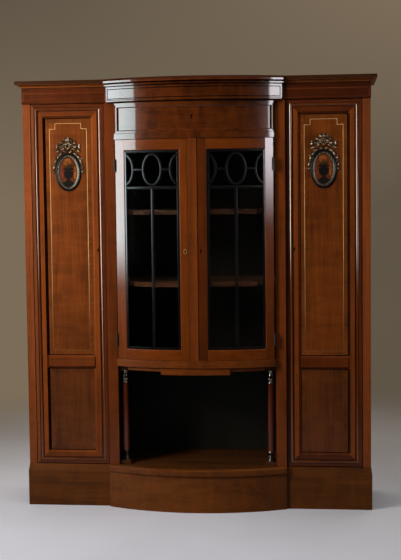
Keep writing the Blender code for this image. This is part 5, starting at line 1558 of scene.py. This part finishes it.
GLOSS_PANELS = {
    "left_panel": {
        "place": (-2.75, -2.10, 1.55), "aim": (0.0, -0.1, 1.55), "width": 1.15, "height": 1.70,
        "level": 23.0, "tint": (0.77, 0.96, 1.0), "fade": 0.235, "soft_edge": 0.01, "edge_share": 0.60,
    },
    "side_panel": {
        "place": (-3.00, -1.31, 1.45), "aim": (0.0, -1.08, 1.45), "width": 0.66, "height": 1.90,
        "level": 17.0, "tint": (0.90, 0.93, 1.0), "fade": 0.30, "soft_edge": 0.45, "edge_share": 1.0,
    },
    "right_panel": {
        "place": (2.65, -2.43, 1.75), "aim": (0.10, -0.23, 1.75), "width": 0.64, "height": 1.30,
        "level": 21.0, "tint": (0.95, 0.93, 1.0), "fade": 0.50, "soft_edge": 0.16, "edge_share": 1.0,
    },
}
CAMERA_PLACE = (0.5805, -5.2533, 1.3689)
CAMERA_YAW = -0.10844
CAMERA_PITCH = 0.0718
CAMERA_ROLL = -0.0115
CAMERA_LENS = 77.14
CAMERA_SENSOR = 36.0


def backdrop_colour(tree, way):
    """Mottled brown behind the cabinet with painted light along a diagonal, a dark room in front of it."""
    cloud = noise(tree, way, *NOISES["backdrop"])
    # A brighter band across a diagonal is painted light on the backdrop.
    crossing = add(tree, "Mapping", Vector=way, Location=BACKDROP_CROSSING).outputs["Vector"]
    spot = add(tree, "SeparateXYZ", Vector=crossing).outputs
    diagonal = multiply(tree, spot["X"], spot["Z"])
    glow = spread(tree, diagonal, -BACKDROP_REACH, BACKDROP_REACH)
    brown = ramp(tree, mix(tree, 0.22, glow, cloud), (0.10, BACKDROP_DARK), (0.90, BACKDROP_LIGHT))
    depth = add(tree, "SeparateXYZ", Vector=way).outputs["Y"]
    return mix(tree, spread(tree, depth, *BACKDROP_SHOWS, smooth=True), ROOM_DARK, brown)


def join_shaders(tree, share, first, second):
    """Mix two shaders by the share of the second."""
    join = add(tree, "MixShader", Fac=share)
    tree.links.new(first, join.inputs[1])
    tree.links.new(second, join.inputs[2])
    return join.outputs["Shader"]


def sheet(name, half_width, half_height, material):
    """A flat rectangle round its own origin."""
    mesh = bpy.data.meshes.new(name)
    corners = rectangle(-half_width, half_width, -half_height, half_height)
    mesh.from_pydata([(x, y, 0) for x, y in corners], [], [(0, 1, 2, 3)])
    mesh.materials.append(material)
    flat = bpy.data.objects.new(name, mesh)
    bpy.context.scene.collection.objects.link(flat)
    return flat


def floor_colour(tree, place):
    """Painted pool of light: pale near the cabinet, darker away from it; and darker in the light it throws
    back.
    """
    painted_light_spot = add(tree, "Mapping", Vector=place, Location=PAINTED_LIGHT_CENTRE).outputs["Vector"]
    away = add(tree, "VectorMath", {"operation": "LENGTH"}, Vector=painted_light_spot).outputs["Value"]
    far_share = spread(tree, away, PAINTED_LIGHT_START, PAINTED_LIGHT_END, smooth=True)
    colour = ramp(tree, far_share, (0.0, FLOOR_NEAR), (1.0, FLOOR_FAR))
    shade = ramp(tree, noise(tree, place, *NOISES["floor"]), (0.35, FLOOR_CLOUD), (0.65, WHITE))
    colour = mix(tree, 1.0, colour, shade, "MULTIPLY")
    diffuse = add(tree, "LightPath").outputs["Is Diffuse Ray"]
    return mix(tree, 1.0, colour, mix(tree, diffuse, (*WHITE, 1.0), (*FLOOR_BOUNCE, 1.0)), "MULTIPLY")


def build_stage():
    """Floor that turns into the backdrop far from the cabinet."""
    material, tree, shader, place = new_material("studio_floor")
    feed(tree, shader, Base_Color=floor_colour(tree, place), Roughness=0.85, Specular_IOR_Level=0.1)
    distance = add(tree, "VectorMath", {"operation": "LENGTH"}, Vector=place).outputs["Value"]
    way = add(tree, "VectorMath", {"operation": "NORMALIZE"}, Vector=place).outputs["Vector"]
    far = add(tree, "Emission", Color=backdrop_colour(tree, way), Strength=1.0)
    edge = spread(tree, distance, SWEEP_START, SWEEP_END, smooth=True)
    join = join_shaders(tree, edge, shader.outputs["BSDF"], far.outputs["Emission"])
    feed(tree, tree.nodes["Material Output"], Surface=join)
    floor = sheet("studio_floor", FLOOR_REACH, FLOOR_REACH, material)


def build_world():
    """Backdrop to the camera, in reflections and through glass; grey fill as light."""
    world = bpy.data.worlds.new("studio")
    world.use_nodes = True
    tree = world.node_tree
    tree.nodes.clear()
    way = add(tree, "TexCoord").outputs["Generated"]
    diffuse = add(tree, "LightPath").outputs["Is Diffuse Ray"]
    fill = add(tree, "Background", Color=FILL_COLOUR, Strength=FILL_LEVEL)
    shown = add(tree, "Background", Color=backdrop_colour(tree, way), Strength=1.0)
    join = join_shaders(tree, diffuse, shown.outputs["Background"], fill.outputs["Background"])
    add(tree, "OutputWorld", Surface=join)
    bpy.context.scene.world = world


def aimed(place, aim):
    """The turn that makes -Z at a place point to its aim."""
    return (Vector(aim) - Vector(place)).to_track_quat("-Z", "Y")


def lamp(name, place, aim, width, height, power, colour, angle):
    """A soft lamp that only lights: it shows neither directly nor in gloss."""
    light = bpy.data.lights.new(name, "AREA")
    light.shape = "RECTANGLE"
    light.size, light.size_y = width, height
    light.energy = power
    light.color = colour
    light.spread = radians(angle)
    seat = bpy.data.objects.new(name, light)
    seat.location = place
    seat.rotation_euler = aimed(place, aim).to_euler()
    seat.visible_camera = False
    seat.visible_glossy = False
    bpy.context.scene.collection.objects.link(seat)


def gloss_glow(name, width, height, level, tint, fade, soft_edge, edge_share):
    """Light that fades towards the foot and one edge, and is weaker at the other."""
    material = bpy.data.materials.new(name)
    material.use_nodes = True
    tree = material.node_tree
    tree.nodes.clear()
    x, y = coordinate(tree, "X"), coordinate(tree, "Y")
    glow = spread(tree, y, -height / 2, height * (fade - 0.5), 0.0, level, True)
    edge = spread(tree, x, -width / 2, width * (soft_edge - 0.5), smooth=True)
    lean = spread(tree, x, width / 2, -width / 2, edge_share)
    strength = multiply(tree, glow, multiply(tree, edge, lean))
    shine = add(tree, "Emission", Color=(*tint, 1.0), Strength=strength)
    add(tree, "OutputMaterial", Surface=shine.outputs["Emission"])
    return material


def gloss_panel(name, place, aim, width, height, **shine):
    """A bright panel that only shows in gloss."""
    panel = sheet(name, width / 2, height / 2, gloss_glow(name, width, height, **shine))
    panel.matrix_world = Matrix.Translation(place) @ aimed(place, aim).to_matrix().to_4x4()
    panel.visible_camera = False
    panel.visible_diffuse = False
    panel.visible_transmission = False
    panel.visible_shadow = False


def build_camera():
    """Camera at the photograph's viewpoint, solved from the cabinet's corners."""
    camera = bpy.data.cameras.new("camera")
    camera.sensor_width = CAMERA_SENSOR
    camera.lens = CAMERA_LENS
    seat = bpy.data.objects.new("camera", camera)
    view = Matrix.Translation(CAMERA_PLACE)
    for turn, axis in ((-CAMERA_YAW, "Z"), (pi / 2 - CAMERA_PITCH, "X"), (CAMERA_ROLL, "Z")):
        view = view @ Matrix.Rotation(turn, 4, axis)
    seat.matrix_world = view
    bpy.context.scene.collection.objects.link(seat)
    bpy.context.scene.camera = seat
    bpy.context.scene.view_settings.view_transform = "Standard"


for label, side in SIDES:
    overhang = build_wing_top(label, side)
    build_wing_door(label, side)
    build_glass_door(label, side)
build_bow_frieze()
build_bow_cornice(overhang)
build_drawer()
build_bow_edges()
build_apron()
build_plinth_bow()
build_columns()
dress_cad_nodes()
build_stage()
build_world()
for name, sizes in LAMPS.items():
    lamp(name, **sizes)
for name, sizes in GLOSS_PANELS.items():
    gloss_panel(name, **sizes)
build_camera()
